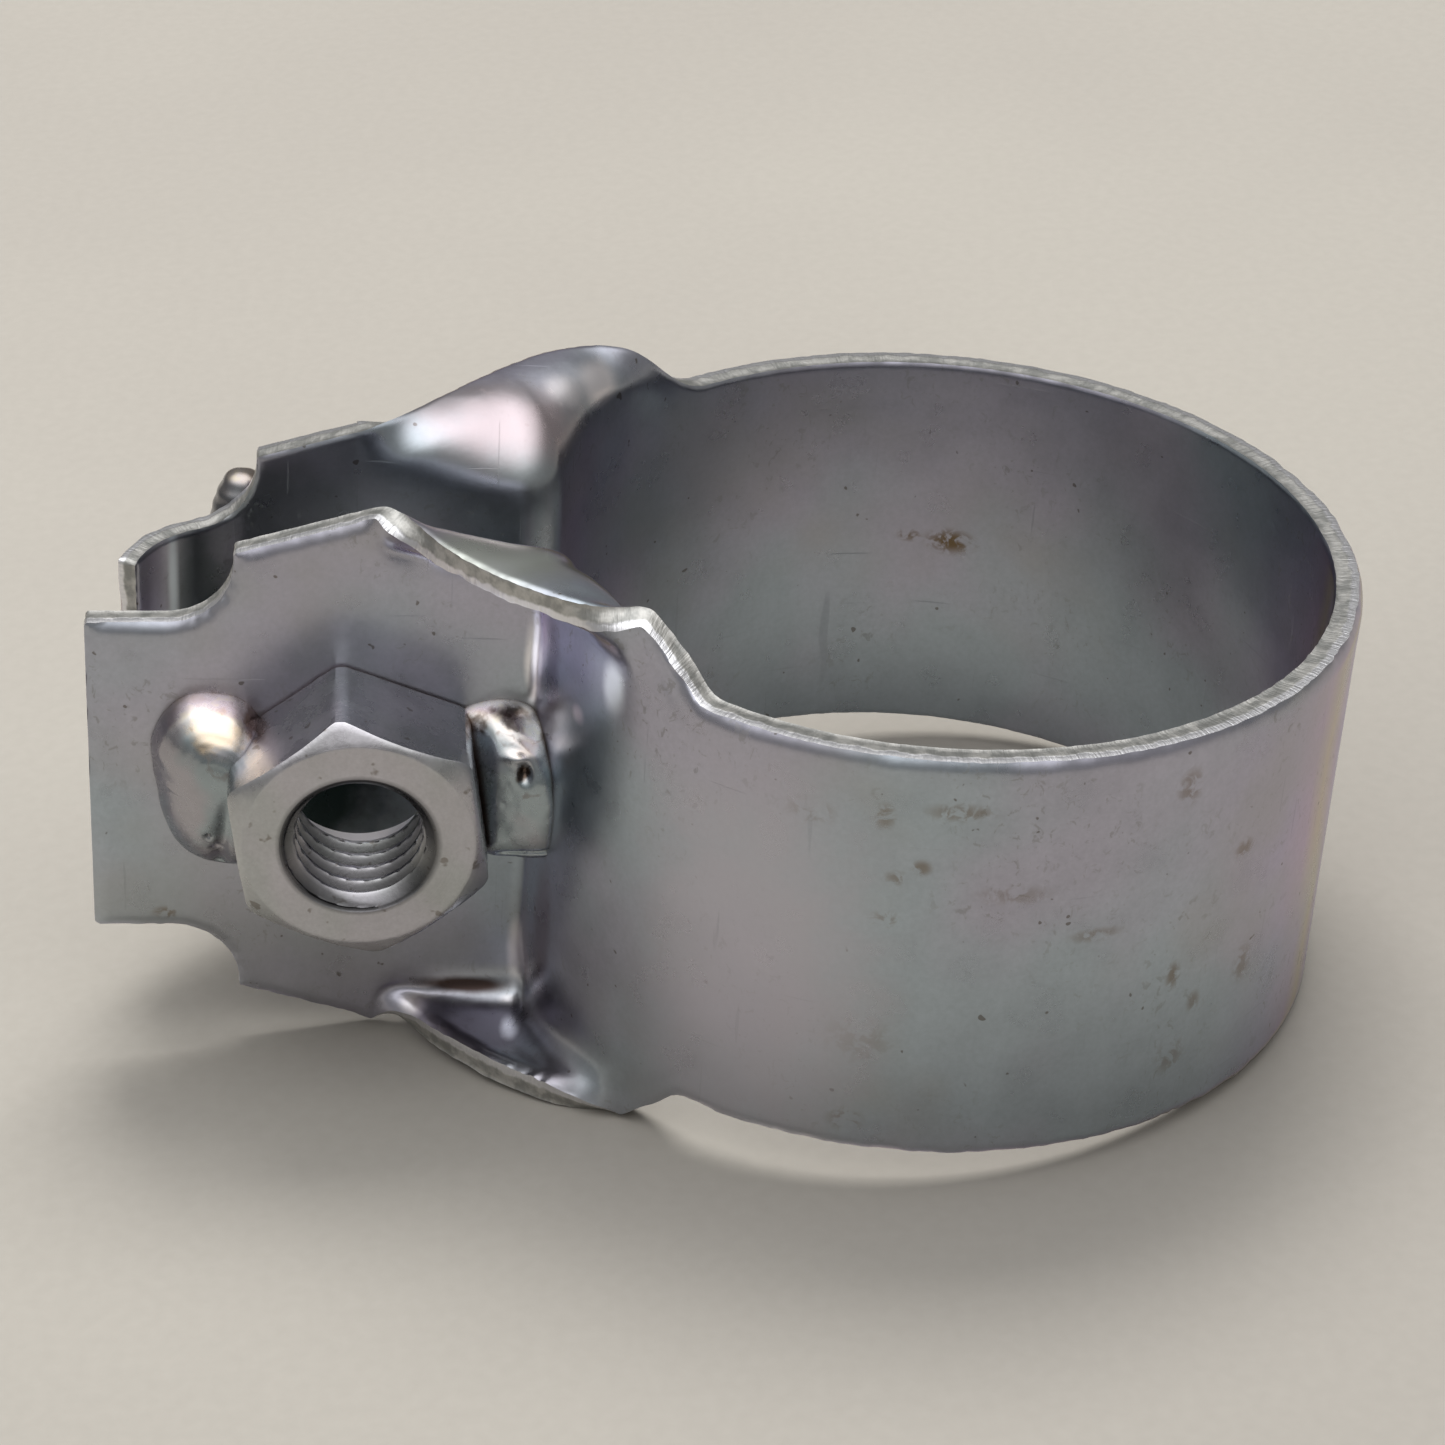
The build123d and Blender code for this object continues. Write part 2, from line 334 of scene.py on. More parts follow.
def web_table(edge, place, lean, soft):
    """x, y, z, lean and the level direction out of the edge (x, y), at every WEB_S."""
    edge = np.array(edge)
    x = pchip(*place)(WEB_S)
    y = pchip(edge[:, 0], edge[:, 1])(x)
    z = pchip(edge[:, 0], edge[:, 2])(x)
    x, y, z = (gauss_smooth(WEB_S, v, soft) for v in (x, y, z))
    angle = gauss_smooth(WEB_S, pchip(*lean)(WEB_S), soft * 1.25)
    tangent = unit(np.stack([np.gradient(x), np.gradient(y)], -1))
    out_x = gauss_smooth(WEB_S, tangent[:, 1], soft * 1.8)
    out_y = gauss_smooth(WEB_S, -tangent[:, 0], soft * 1.8)
    return x, y, z, angle, out_x, out_y


WEBS = {False: web_table(**NUT_WEB), True: web_table(**PLATE_WEB)}


def web_edge(s, far):
    """Bore-side corner of the cut edge, the sheet's direction there, its normal and its lean."""
    x, y, z, degrees, out_x, out_y = (np.interp(s, WEB_S, v) for v in WEBS[far])
    level = unit(np.array([out_x, out_y, 0.0]))
    up = np.array([0, 0, 1.0])
    lean = math.radians(float(degrees))
    direction = math.cos(lean) * up + math.sin(lean) * level
    normal = math.cos(lean) * level - math.sin(lean) * up    # from the bore side outwards
    return np.array([x, y, z]), direction, normal, lean


# Handle lengths of the curve from wall to cut edge, over s: at the wall, then at the edge
PULL_AT = [17.6, 22, 28, 31, 36, 39, 41, 44, 49.9]
PULL_AT_OUTER = [17.6, 22, 28, 31, 36, 41, 44, 49.9]
BORE_PULL = (
    pchip(PULL_AT, [0.45, 0.80, 0.62, 0.58, 0.72, 0.80, 0.78, 0.50, 0.33]),
    pchip(PULL_AT, [0.33, 0.74, 0.62, 0.60, 0.78, 0.84, 0.80, 0.50, 0.33]),
)
OUTER_PULL = (
    pchip(PULL_AT_OUTER, [0.5, 0.93, 0.95, 0.80, 0.74, 0.6, 0.4, 0.33]),
    pchip(PULL_AT_OUTER, [0.33, 0.90, 0.93, 0.80, 0.78, 0.5, 0.35, 0.33]),
)

# ---------------------------------------------------------------- grid of the strip
WALL_ROWS = 13                # rows of the plain wall, from the mid plane
WALL_SHARE = 0.72             # of the column's height
MID_ROWS = 11                 # rows between the wall and the edge's own rows
EDGE_ROWS = [1.3, 1.0, 0.78, 0.58, 0.4, 0.25, 0.12, 0.0]    # distances from the cut edge
COLUMN_STEP = 0.42


def edge_zone(curve):
    """Rows of one column above the wall: MID_ROWS even ones, then those at EDGE_ROWS."""
    at = running_length(curve)
    length = at[-1]
    widest = EDGE_ROWS[0]
    near = EDGE_ROWS
    if length < widest * 1.3:
        near = [min(d, 0.8 * length * d / widest) for d in near]
    stops = list(np.linspace(0, length - near[0], MID_ROWS + 1)[1:])
    stops = np.array(stops + [length - d for d in near])
    stops[MID_ROWS - 1] = (stops[MID_ROWS - 2] + stops[MID_ROWS]) / 2
    return interp_rows(stops, at, curve)


def wall_heights(foot):
    return foot * np.arange(WALL_ROWS) / WALL_ROWS


def column_heights(top, count):
    foot = WALL_SHARE * top
    return np.concatenate([wall_heights(foot), np.linspace(foot, top, count)])


def upright_column(s, heights, far):
    """Outer and bore-side points of one column of the unfolded sheet."""
    sides = []
    for plan in section(s, far):
        points = np.column_stack([plan, heights])
        sides.append(np.vstack([points[:WALL_ROWS], edge_zone(points[WALL_ROWS:])]))
    return sides


def folded_side(plan, foot_z, edge, direction, lean, pulls):
    """One side of one column that folds out into the web."""
    foot = np.array([plan[0], plan[1], foot_z])
    rise = edge[2] - foot_z
    reach = np.linalg.norm(edge[:2] - plan)
    length = reach * math.sin(lean) + rise * math.cos(lean)
    curve = bezier(
        foot, foot + [0, 0, pulls[0] * rise], edge - direction * pulls[1] * length, edge
    )
    wall = np.column_stack([np.repeat(plan[None], WALL_ROWS, 0), wall_heights(foot_z)])
    return np.vstack([wall, edge_zone(curve)])


def folded_column(s, far):
    edge, direction, normal, lean = web_edge(s, far)
    foot_z = WALL_SHARE * edge[2]
    outer, inner = section(np.array([s]), far)
    sides = ((outer[0], edge + SHEET * normal, OUTER_PULL), (inner[0], edge, BORE_PULL))
    return [
        folded_side(plan, foot_z, corner, direction, lean, [pull(s) for pull in pulls])
        for plan, corner, pulls in sides
    ]


def round_corner(s_start, top, radius, end_degrees):
    angle = np.radians(np.linspace(0, end_degrees, 5))
    return np.column_stack([
        s_start + radius - radius * np.cos(angle), top - radius + radius * np.sin(angle)
    ])


def ear_outline(tip_s, far):
    """Developed outline (s, z) of the ear's upper half, from the tab's end to the web."""
    notch_s = x_to_s(NOTCH_X[far])
    angle = np.radians(np.linspace(0, 90, 16))
    notch = np.column_stack([
        notch_s - NOTCH_R + NOTCH_R * np.sin(angle),
        TAB_HALF + NOTCH_R - NOTCH_R * np.cos(angle),
    ])
    return np.vstack([
        round_corner(tip_s, TAB_HALF, TAB_CORNER_R, 90),
        notch,
        round_corner(notch_s, SHOULDER_Z, SHOULDER_R, 78),
        [(S_WEB0, WEBS[far][2][0])],
    ])


def ear_columns(far):
    """s at the mid plane, s at the edge and z of the edge, for every column of the ear."""
    tip_s = S_FLAT - CURL_LENGTH if far else 0.0
    outline = ear_outline(tip_s, far)
    at = running_length(outline)
    stops = set()
    for a, b in zip(at[:-1], at[1:]):
        n = max(1, int(math.ceil((b - a) / COLUMN_STEP)))
        stops.update(round(a + (b - a) * k / n, 6) for k in range(n))
    stops = np.array(sorted(stops))
    edge_s, edge_z = interp_rows(stops, at, outline).T
    mid_s = tip_s + (S_WEB0 - tip_s) * (stops / at[-1])
    # near the tab's end the middle keeps to the same distances as the edge
    weight = ease(clamp(stops / 3.0))
    mid_s = edge_s * (1 - weight) + mid_s * weight
    mid_s[0] = tip_s
    mid_s = np.maximum.accumulate(mid_s + np.arange(len(mid_s)) * 1e-6)
    return zip(mid_s, edge_s, edge_z)


def build_half(far):
    """Points [column, side (outer, bore), row] of one half, from the tip to the ring's middle."""
    columns = []
    for mid, edge, top in ear_columns(far):
        heights = column_heights(top, 40)
        columns.append(upright_column(mid + (edge - mid) * (heights / top) ** 3, heights, far))
    for s in np.linspace(S_WEB0, S_WEB1, 104):
        columns.append(folded_column(s, far))
    heights = column_heights(HALF_WIDTH, 30)
    for s in np.linspace(S_WEB1, S_END, 128)[1:]:
        columns.append(upright_column(np.full(len(heights), s), heights, far))
    return np.array(columns)


def full_rows(grid):
    """Adds the lower half: rows from -edge to +edge."""
    return np.concatenate([grid[:, :0:-1] * [1, 1, -1], grid], 1)


# radial spring of the ring over its angle in degrees, mm
RING_SPRING = pchip(
    [-180, -150, -95, -60, -35, 0, 40, 90, 120, 150, 180],
    [0, 0, 0, 0.18, 0.42, 0.42, 0.42, 0.5, 0.38, 0.12, 0],
)


def settle(points):
    """The part's departures from the drawing: each step reads what the last one moved."""
    points = points.copy()
    x, y, z = points[..., 0], points[..., 1], points[..., 2]
    # the free ring springs slightly open
    radius = np.hypot(x, y)
    spring = RING_SPRING(np.degrees(np.arctan2(y, x)))
    spring = spring * (clamp((radius - 24.5) / 1.0) * clamp((x + 26.0) / 6.0))
    radius = np.maximum(radius, 1e-6)
    x += spring * x / radius
    y += spring * y / radius
    # the nut half's bend leans
    at_bend = ease(clamp(1 - np.abs(x + 27.6) / 7.5))
    x += BEND_LEAN * z * at_bend * clamp((16.0 - np.abs(z)) / 4.0) * (y < 0)
    # the fold of the nut half's upper web moves towards +X, away from the edge rows
    row = np.arange(points.shape[1])
    inside = clamp((np.minimum(row, len(row) - 1 - row) - 4) / 10.0)[None, :]
    fold = clamp((z - 13.0) / 5.0) * clamp(1.15 - np.abs(x + 25.5) / 5.0)
    x += ease(fold * inside * (y < 0))
    # the plate half's upper web rises
    rise = clamp((z - 13.0) / 6.5) * clamp(1 - np.abs(x + 25.5) / 11.0)
    z += 0.55 * ease(rise * clamp((y - 6.0) / 4.0))
    return points


# ---------------------------------------------------------------- mesh helpers
def strip_faces(first, second):
    """Quads between two closed rings of vertex numbers."""
    n = len(first)
    return [(first[a], first[(a + 1) % n], second[(a + 1) % n], second[a]) for a in range(n)]


def ring_faces(rows, n, closed=False):
    """Quads between stacked rings of n vertices; closed also joins the last to the first."""
    ids = np.arange(rows * n).reshape(rows, n)
    faces = []
    for i in range(rows if closed else rows - 1):
        faces += strip_faces(ids[i], ids[(i + 1) % rows])
    return faces


def lump_faces(rows, n):
    """Stacked rings closed by two end points, which follow the rings' vertices."""
    faces = ring_faces(rows, n)
    first_tip, last_tip, last = rows * n, rows * n + 1, (rows - 1) * n
    for j in range(n):
        k = (j + 1) % n
        faces.append((first_tip, k, j))
        faces.append((last_tip, last + j, last + k))
    return faces


def make_mesh(name, points, faces, materials, smooth_deg, slots=None, attributes=None):
    mesh = bpy.data.meshes.new(name)
    faces = [tuple(int(i) for i in face) for face in faces]
    mesh.from_pydata((np.asarray(points) * 0.001).tolist(), [], faces)
    for material in materials:
        mesh.materials.append(material)
    if slots is not None:
        mesh.polygons.foreach_set("material_index", np.array(slots, np.int32))
    mesh.validate(clean_customdata=False)
    bm = bmesh.new()
    bm.from_mesh(mesh)
    bmesh.ops.recalc_face_normals(bm, faces=bm.faces[:])
    bm.to_mesh(mesh)
    bm.free()
    for key, values in (attributes or {}).items():
        attribute = mesh.attributes.new(key, "FLOAT", "POINT")
        attribute.data.foreach_set("value", np.asarray(values, np.float32))
    mesh.polygons.foreach_set("use_smooth", np.ones(len(mesh.polygons), bool))
    mesh.set_sharp_from_angle(angle=math.radians(smooth_deg))
    mesh.update()
    return add_object(name, mesh)


def add_object(name, data):
    ob = bpy.data.objects.new(name, data)
    bpy.context.scene.collection.objects.link(ob)
    return ob


def stand_in(ob, piece, side):
    """Puts the object in the place of a CAD piece that rides on one side of the clamp."""
    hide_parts(piece)
    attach(ob, side)


def place(points, seat, along, out):
    """Points (along the ear, along Z, out from the ear) set on an ear's seat."""
    up = np.array([0.0, 0.0, 1.0])
    return seat + points[:, 0:1] * along + points[:, 1:2] * up + points[:, 2:3] * out


# ---------------------------------------------------------------- band
class Shell:
    """Collects vertices, faces and material slots."""

    def __init__(self):
        self.points, self.faces, self.slots, self.count = [], [], [], 0

    def add_points(self, points):
        self.points.append(points)
        self.count += len(points)
        return np.arange(self.count - len(points), self.count)

    def add_faces(self, faces, slot):
        self.faces += faces
        self.slots += [slot] * len(faces)


def nearest_on_loop(points, line):
    """Distance of every point to a closed line, and the nearest segment's number."""
    flat = points.reshape(-1, 3)
    best = np.empty(len(flat))
    index = np.empty(len(flat), int)
    span = np.roll(line, -1, 0) - line
    square = np.maximum((span**2).sum(1), 1e-9)
    for start in range(0, len(flat), 2000):
        part = slice(start, start + 2000)
        p = flat[part]
        t = clamp(((p[:, None] - line) * span).sum(2) / square)
        distance = np.linalg.norm(p[:, None] - (line + t[..., None] * span), axis=2)
        index[part] = distance.argmin(1)
        best[part] = distance.min(1)
    return best.reshape(points.shape[:-1]), index.reshape(points.shape[:-1])


def boundary(columns, rows):
    """Grid places (column, row) round the sheet's edge."""
    loop = [(k, rows - 1) for k in range(columns)]
    loop += [(columns - 1, j) for j in range(rows - 2, -1, -1)]
    loop += [(k, 0) for k in range(columns - 2, -1, -1)]
    loop += [(0, j) for j in range(1, rows - 1)]
    return np.array(loop).T


def rim_normals(outer, inner, loop):
    """Directions out of the sheet in its own plane, round the edge."""
    edge_out, edge_in = outer[tuple(loop)], inner[tuple(loop)]
    tangent = unit(
        np.roll(edge_out, -1, 0) + np.roll(edge_in, -1, 0)
        - np.roll(edge_out, 1, 0) - np.roll(edge_in, 1, 0)
    )
    normals = unit(np.cross(unit(edge_in - edge_out), tangent))
    # turn each one away from its neighbour inside the grid
    k = np.clip(loop[0], 1, outer.shape[0] - 2)
    j = np.clip(loop[1], 1, outer.shape[1] - 2)
    outward = (edge_out + edge_in) / 2 - (outer[k, j] + inner[k, j]) / 2
    return normals * np.sign(np.einsum("ij,ij->i", outward, normals))[:, None]


def weather(outer, inner, loop, arc):
    """Rolls over both edges of the sheet and adds slow waviness, the same on both sides."""
    normal = unit(inner - outer)            # from the outer side to the bore side
    gap_out, near_out = nearest_on_loop(outer, outer[tuple(loop)])
    gap_in, near_in = nearest_on_loop(inner, inner[tuple(loop)])
    at = arc[near_out]
    vary = 1 + 0.22 * noise1(at / 0.55, 1) + 0.18 * noise1(at / 2.3, 2)
    roll = ROLL_D * vary * clamp(1 - gap_out / (ROLL_W * (0.85 + 0.15 * vary))) ** 2
    vary = 1 + 0.3 * noise1(arc[near_in] / 0.4, 7)
    burr = BURR_D * vary * clamp(1 - gap_in / BURR_W) ** 2
    middle = (outer + inner) / 2
    wave = 0.05 * noise3(middle / 9.0, 3) + 0.02 * noise3(middle / 3.1, 5)
    wave = wave * np.clip(gap_out / 3.0, 0.25, 1)
    return outer + normal * (roll + wave)[..., None], inner + normal * (wave - burr)[..., None]


def bolt_hole(outer, side):
    """The block of cells to leave out, its border, and the hole's frame; side is -1 at +Y."""
    centre = np.array([NUT_X, side * -ear_y(NUT_X), 0.0])
    along = np.array([TILT_COS, side * TILT_SIN, 0.0])
    offset = (outer - centre) @ along
    z = outer[..., 2]
    mid = outer.shape[1] // 2
    on_ear = (outer[:, mid, 0] < -30.5) & (outer[:, mid, 1] * side < 0)
    columns = np.flatnonzero(on_ear & (np.abs(offset[:, mid]) < HOLE_BLOCK))
    k0, k1 = columns[0], columns[-1]
    rows = np.flatnonzero(np.abs(z[(k0 + k1) // 2]) < HOLE_BLOCK)
    j0, j1 = rows[0], rows[-1]
    cells = {(k, j) for k in range(k0, k1) for j in range(j0, j1)}
    border = [(k, j0) for k in range(k0, k1)] + [(k1, j) for j in range(j0, j1)]
    border += [(k, j1) for k in range(k1, k0, -1)] + [(k0, j) for j in range(j1, j0, -1)]
    border = tuple(np.array(border).T)
    angle = np.arctan2(z[border], offset[border])
    out = np.array([TILT_SIN, -side * TILT_COS, 0.0])
    return cells, border, angle, centre, along, out


# the bolt hole's wall: radius, depth below the outer side, material slot of the faces before it
HOLE_PROFILE = (
    (HOLE_R + 0.55, 0.0, 0), (HOLE_R + 0.12, 0.0, 0), (HOLE_R, 0.12, 1), (HOLE_R, SHEET / 2, 1),
    (HOLE_R, SHEET - 0.12, 1), (HOLE_R + 0.12, SHEET, 1), (HOLE_R + 0.55, SHEET, 1),
)
# rows of the cut face: share of the thickness from the outer side, bulge outwards
RIM_ROWS = ((0.10, 0.02), (0.22, 0.035), (0.38, 0.03), (0.55, 0.0), (0.72, -0.03), (0.88, -0.055))
RIM_ROUGHNESS = 0.016


def add_hole(shell, outer_ids, inner_ids, hole):
    _, border, angle, centre, along, out = hole
    previous = outer_ids[border]
    level = np.cos(angle)[:, None] * along + np.sin(angle)[:, None] * np.array([0, 0, 1.0])
    for radius, depth, slot in HOLE_PROFILE:
        ids = shell.add_points(centre + radius * level - out * depth)
        shell.add_faces(strip_faces(previous, ids), slot)
        previous = ids
    shell.add_faces(strip_faces(previous, inner_ids[border]), 0)


def build_band():
    near, far = build_half(False), build_half(True) * [1, -1, 1]
    outer, inner = (
        settle(np.concatenate([full_rows(near[:, k]), full_rows(far[:, k])[:-1][::-1]], 0))
        for k in (0, 1)
    )
    columns, rows = outer.shape[:2]
    loop = boundary(columns, rows)
    edge = tuple(loop)
    arc = running_length(outer[edge])
    normals = rim_normals(outer, inner, loop)
    holes = [bolt_hole(outer, side) for side in (1.0, -1.0)]
    outer, inner = weather(outer, inner, loop, arc)

    shell = Shell()
    outer_ids = shell.add_points(outer.reshape(-1, 3)).reshape(columns, rows)
    inner_ids = shell.add_points(inner.reshape(-1, 3)).reshape(columns, rows)
    left_out = holes[0][0] | holes[1][0]
    for k in range(columns - 1):
        for j in range(rows - 1):
            if (k, j) in left_out:
                continue
            a, b = outer_ids, inner_ids
            quads = [
                (a[k, j], a[k + 1, j], a[k + 1, j + 1], a[k, j + 1]),
                (b[k, j], b[k, j + 1], b[k + 1, j + 1], b[k + 1, j]),
            ]
            shell.add_faces(quads, 0)
    # the cut face between the two sides; marked holds vertex numbers and their edge_v
    previous = outer_ids[edge]
    marked = [(previous, 0.0), (inner_ids[edge], 1.0)]
    for share, bulge in RIM_ROWS:
        rough = RIM_ROUGHNESS * hash_noise(np.arange(len(arc)) * 7 + int(share * 100), 11)
        rough = rough * (1.0 if share > 0.3 else 0.5)
        points = outer[edge] * (1 - share) + inner[edge] * share
        ids = shell.add_points(points + normals * (bulge + rough)[:, None])
        shell.add_faces(strip_faces(previous, ids), 1)
        marked.append((ids, share))
        previous = ids
    shell.add_faces(strip_faces(previous, inner_ids[edge]), 1)
    for hole in holes:
        add_hole(shell, outer_ids, inner_ids, hole)
    edge_u, edge_v = np.zeros(shell.count), np.zeros(shell.count)
    for ids, value in marked:
        edge_u[ids] = arc
        edge_v[ids] = value
    return make_mesh(
        "band", np.vstack(shell.points), shell.faces, (MAT_SHEET, MAT_EDGE), smooth_deg=30,
        slots=shell.slots, attributes={"edge_u": edge_u, "edge_v": edge_v},
    )


# ---------------------------------------------------------------- material helpers
class Graph:
    """Short forms for building node trees."""

    def __init__(self, tree):
        self.tree = tree
        tree.nodes.clear()

    def put(self, socket, value):
        if isinstance(value, bpy.types.NodeSocket):
            self.tree.links.new(value, socket)
        elif socket.type == "RGBA" and len(value) == 3:
            socket.default_value = (*value, 1.0)
        else:
            socket.default_value = value

    def node(self, kind, inputs, output=0, **settings):
        node = self.tree.nodes.new("ShaderNode" + kind)
        for key, value in settings.items():
            setattr(node, key, value)
        for key, value in inputs.items():
            self.put(node.inputs[key], value)
        return node.outputs[output] if node.outputs else None

    def coord(self, kind="Object"):
        return self.node("TexCoord", {}, kind)

    def mapping(self, vector, scale=(1, 1, 1), rot=(0, 0, 0), loc=(0, 0, 0)):
        values = {"Vector": vector, "Scale": scale, "Rotation": rot, "Location": loc}
        return self.node("Mapping", values)

    def noise(self, vector, scale, detail, rough=0.5, distort=0.0):
        values = {"Vector": vector, "Scale": scale, "Detail": detail}
        return self.node("TexNoise", {**values, "Roughness": rough, "Distortion": distort}, "Fac")

    def ramp(self, fac, stops):
        colour = self.node("ValToRGB", {"Fac": fac}, "Color")
        elements = colour.node.color_ramp.elements
        while len(elements) < len(stops):
            elements.new(0.5)
        for element, (position, shade) in zip(elements, stops):
            element.position = position
            grey = isinstance(shade, (int, float))
            element.color = (shade, shade, shade, 1) if grey else (*shade, 1)
        return colour

    def remap(self, value, low, high, to=(0.0, 1.0), smooth=True):
        values = {"Value": value, "From Min": low, "From Max": high}
        return self.node(
            "MapRange", {**values, "To Min": to[0], "To Max": to[1]},
            interpolation_type="SMOOTHSTEP" if smooth else "LINEAR",
        )

    def math(self, operation, a, b):
        return self.node("Math", {0: a, 1: b}, operation=operation)

    def times(self, a, b):
        return self.math("MULTIPLY", a, b)

    def plus(self, a, b, gain):
        return self.math("ADD", a, self.times(b, gain))

    def wobble(self, value, noise, amount):
        """Value shifted by noise centred on zero."""
        return self.plus(value, self.math("SUBTRACT", noise, 0.5), amount)

    def mix(self, fac, a, b, mode="MIX"):
        return self.node("Mix", {0: fac, 6: a, 7: b}, 2, data_type="RGBA", blend_type=mode)

    def tint(self, colour, mask, amount, to):
        return self.mix(self.times(mask, amount), colour, to)

    def multiply(self, colour, by):
        return self.mix(1.0, colour, by, "MULTIPLY")

    def shade(self, colour, fac, *stops):
        return self.multiply(colour, self.ramp(fac, stops))

    def bump(self, height, strength, distance):
        return self.node(
            "Bump", {"Height": height, "Strength": strength, "Distance": distance}
        )

    def crevices(self, distance, low, high):
        """1 in tight corners, 0 in the open."""
        open_sky = self.node("AmbientOcclusion", {"Distance": distance}, "AO", samples=6)
        return self.remap(open_sky, low, high, to=(1.0, 0.0))

    def attribute(self, name):
        return self.node("Attribute", {}, "Fac", attribute_name=name)

    def xyz(self, x, y=0.0, z=0.0):
        return self.node("CombineXYZ", {0: x, 1: y, 2: z})

    def from_centre(self, coord, centre, radii):
        """Distance from a spot's centre in mm, as a share of its radii."""
        scale = [1000.0 / r for r in radii]
        shift = [-c / r for c, r in zip(centre, radii)]
        spot = self.mapping(coord, scale=scale, loc=shift)
        return self.node("VectorMath", {0: spot}, "Value", operation="LENGTH")

    def patches(self, colour, coord, table, noise, ragged, low, high):
        """Spots of other colours with ragged edges."""
        for centre, radii, to, strength in table:
            away = self.wobble(self.from_centre(coord, centre, radii), noise, ragged)
            near = self.remap(away, low, high, to=(1.0, 0.0))
            colour = self.tint(colour, near, amount=strength, to=to)
        return colour


def new_material(name):
    material = bpy.data.materials.new(name)
    material.use_nodes = True
    return material, Graph(material.node_tree)


def surface(graph, **values):
    """Principled surface; an underscore in a value's name stands for a space."""
    values = {key.replace("_", " "): value for key, value in values.items()}
    graph.node("OutputMaterial", {0: graph.node("BsdfPrincipled", values)})


# ---------------------------------------------------------------- materials
def zinc_film(g, slow):
    """Interference colour, seen only where the view grazes the surface."""
    facing = g.node("LayerWeight", {"Blend": 0.5}, "Facing")
    return g.ramp(g.wobble(facing, slow, 0.22), [
        (0.0, (1.0, 1.0, 1.0)), (0.45, (1.0, 1.0, 1.01)), (0.66, (1.0, 0.93, 1.04)),
        (0.78, (1.06, 0.86, 0.98)), (0.87, (1.16, 0.98, 0.66)), (0.95, (0.98, 0.78, 0.92)),
        (1.0, (0.9, 0.8, 1.0)),
    ])


def hairlines(g, co):
    """Hairline scratches in three directions: rotation, stretch and shift of each."""
    directions = (
        ((0.0, 0.35, 0.2), (1, 1, 34), 0.0),
        ((0.6, 0.0, 1.0), (38, 1.2, 1.2), 0.17),
        ((0.9, 1.1, 0.1), (1, 30, 1), 0.34),
    )
    lines = []
    for rot, scale, shift in directions:
        vector = g.mapping(co, scale=scale, rot=rot, loc=(shift, 0.0, 0.0))
        lines.append(g.remap(g.noise(vector, scale=95.0, detail=1.0), low=0.755, high=0.785))
    return g.math("MAXIMUM", g.math("MAXIMUM", lines[0], lines[1]), lines[2])


def zinc(name, cool, warm, rough, marks=(), painted_light_spots=()):
    """Bright zinc plate with a thin blue passivation: mottled, faintly stained and scratched, with
    painted highlights, reflections and shade at listed spots and painted shade in tight corners.
    """
    material, g = new_material(name)
    co = g.coord()
    slow = g.noise(co, scale=55.0, detail=2.0)
    mid = g.noise(co, scale=260.0, detail=4.0, rough=0.6)
    fine = g.noise(co, scale=2600.0, detail=3.0, rough=0.6)
    col = g.mix(g.remap(slow, low=0.38, high=0.62), cool, warm)
    # cloudy grain of the plating
    col = g.shade(col, mid, (0.25, 0.90), (0.5, 1.0), (0.75, 1.08))
    col = g.shade(col, fine, (0.3, 0.95), (0.7, 1.04))
    col = g.mix(1.0, col, g.multiply(col, zinc_film(g, slow)))
    # dull smears
    smear = g.noise(g.mapping(co, loc=(0.2, 0.1, 0.4)), scale=48.0, detail=3.0, rough=0.6)
    smear = g.remap(smear, low=0.47, high=0.66)
    col = g.tint(col, smear, amount=0.42, to=(0.39, 0.385, 0.37))
    # fine scribbles, in patches
    patch = g.remap(g.noise(co, scale=85.0, detail=2.0, rough=0.6), low=0.42, high=0.64)
    worm = g.mapping(co, scale=(1, 1, 0.8))
    worm = g.noise(worm, scale=1500.0, detail=4.0, rough=0.62, distort=0.9)
    worm = g.times(g.remap(worm, low=0.575, high=0.66), patch)
    col = g.tint(col, worm, amount=0.36, to=(0.24, 0.23, 0.195))
    # dark specks
    specks = g.noise(g.mapping(co, rot=(0.2, 1.1, 0.3)), scale=1250.0, detail=1.0)
    specks = g.remap(specks, low=0.76, high=0.80)
    col = g.tint(col, specks, amount=0.7, to=(0.12, 0.10, 0.08))
    if marks:
        blot = g.noise(co, scale=900.0, detail=4.0, rough=0.62, distort=0.5)
        blot = g.remap(blot, low=0.43, high=0.56)
    for centre, radii, strength in marks:
        near = g.remap(g.from_centre(co, centre, radii), low=0.25, high=1.0, to=(1.0, 0.0))
        col = g.tint(col, g.times(near, blot), amount=strength, to=(0.17, 0.115, 0.055))
    # painted highlights, painted reflections and painted shade at the listed spots
    col = g.patches(col, co, painted_light_spots, noise=mid, ragged=0.6, low=0.35, high=1.05)
    hair = hairlines(g, co)
    col = g.tint(col, hair, amount=0.10, to=(0.30, 0.30, 0.29))
    # painted shade: darker and browner in tight corners, from ambient occlusion
    crevice_shade = g.crevices(distance=0.0008, low=0.28, high=0.70)
    col = g.tint(col, crevice_shade, amount=0.5, to=(0.17, 0.125, 0.09))
    roughness = g.remap(mid, low=0.25, high=0.75, to=rough, smooth=False)
    for mask, gain in ((worm, 0.14), (hair, 0.12), (crevice_shade, 0.2)):
        roughness = g.plus(roughness, mask, gain)
    height = g.plus(g.times(fine, 0.45), mid, gain=0.8)
    height = g.math("SUBTRACT", height, g.times(hair, 0.5))
    bump = g.bump(height, strength=0.35, distance=0.00003)
    surface(g, Base_Color=col, Roughness=roughness, Normal=bump, Metallic=1.0)
    return material


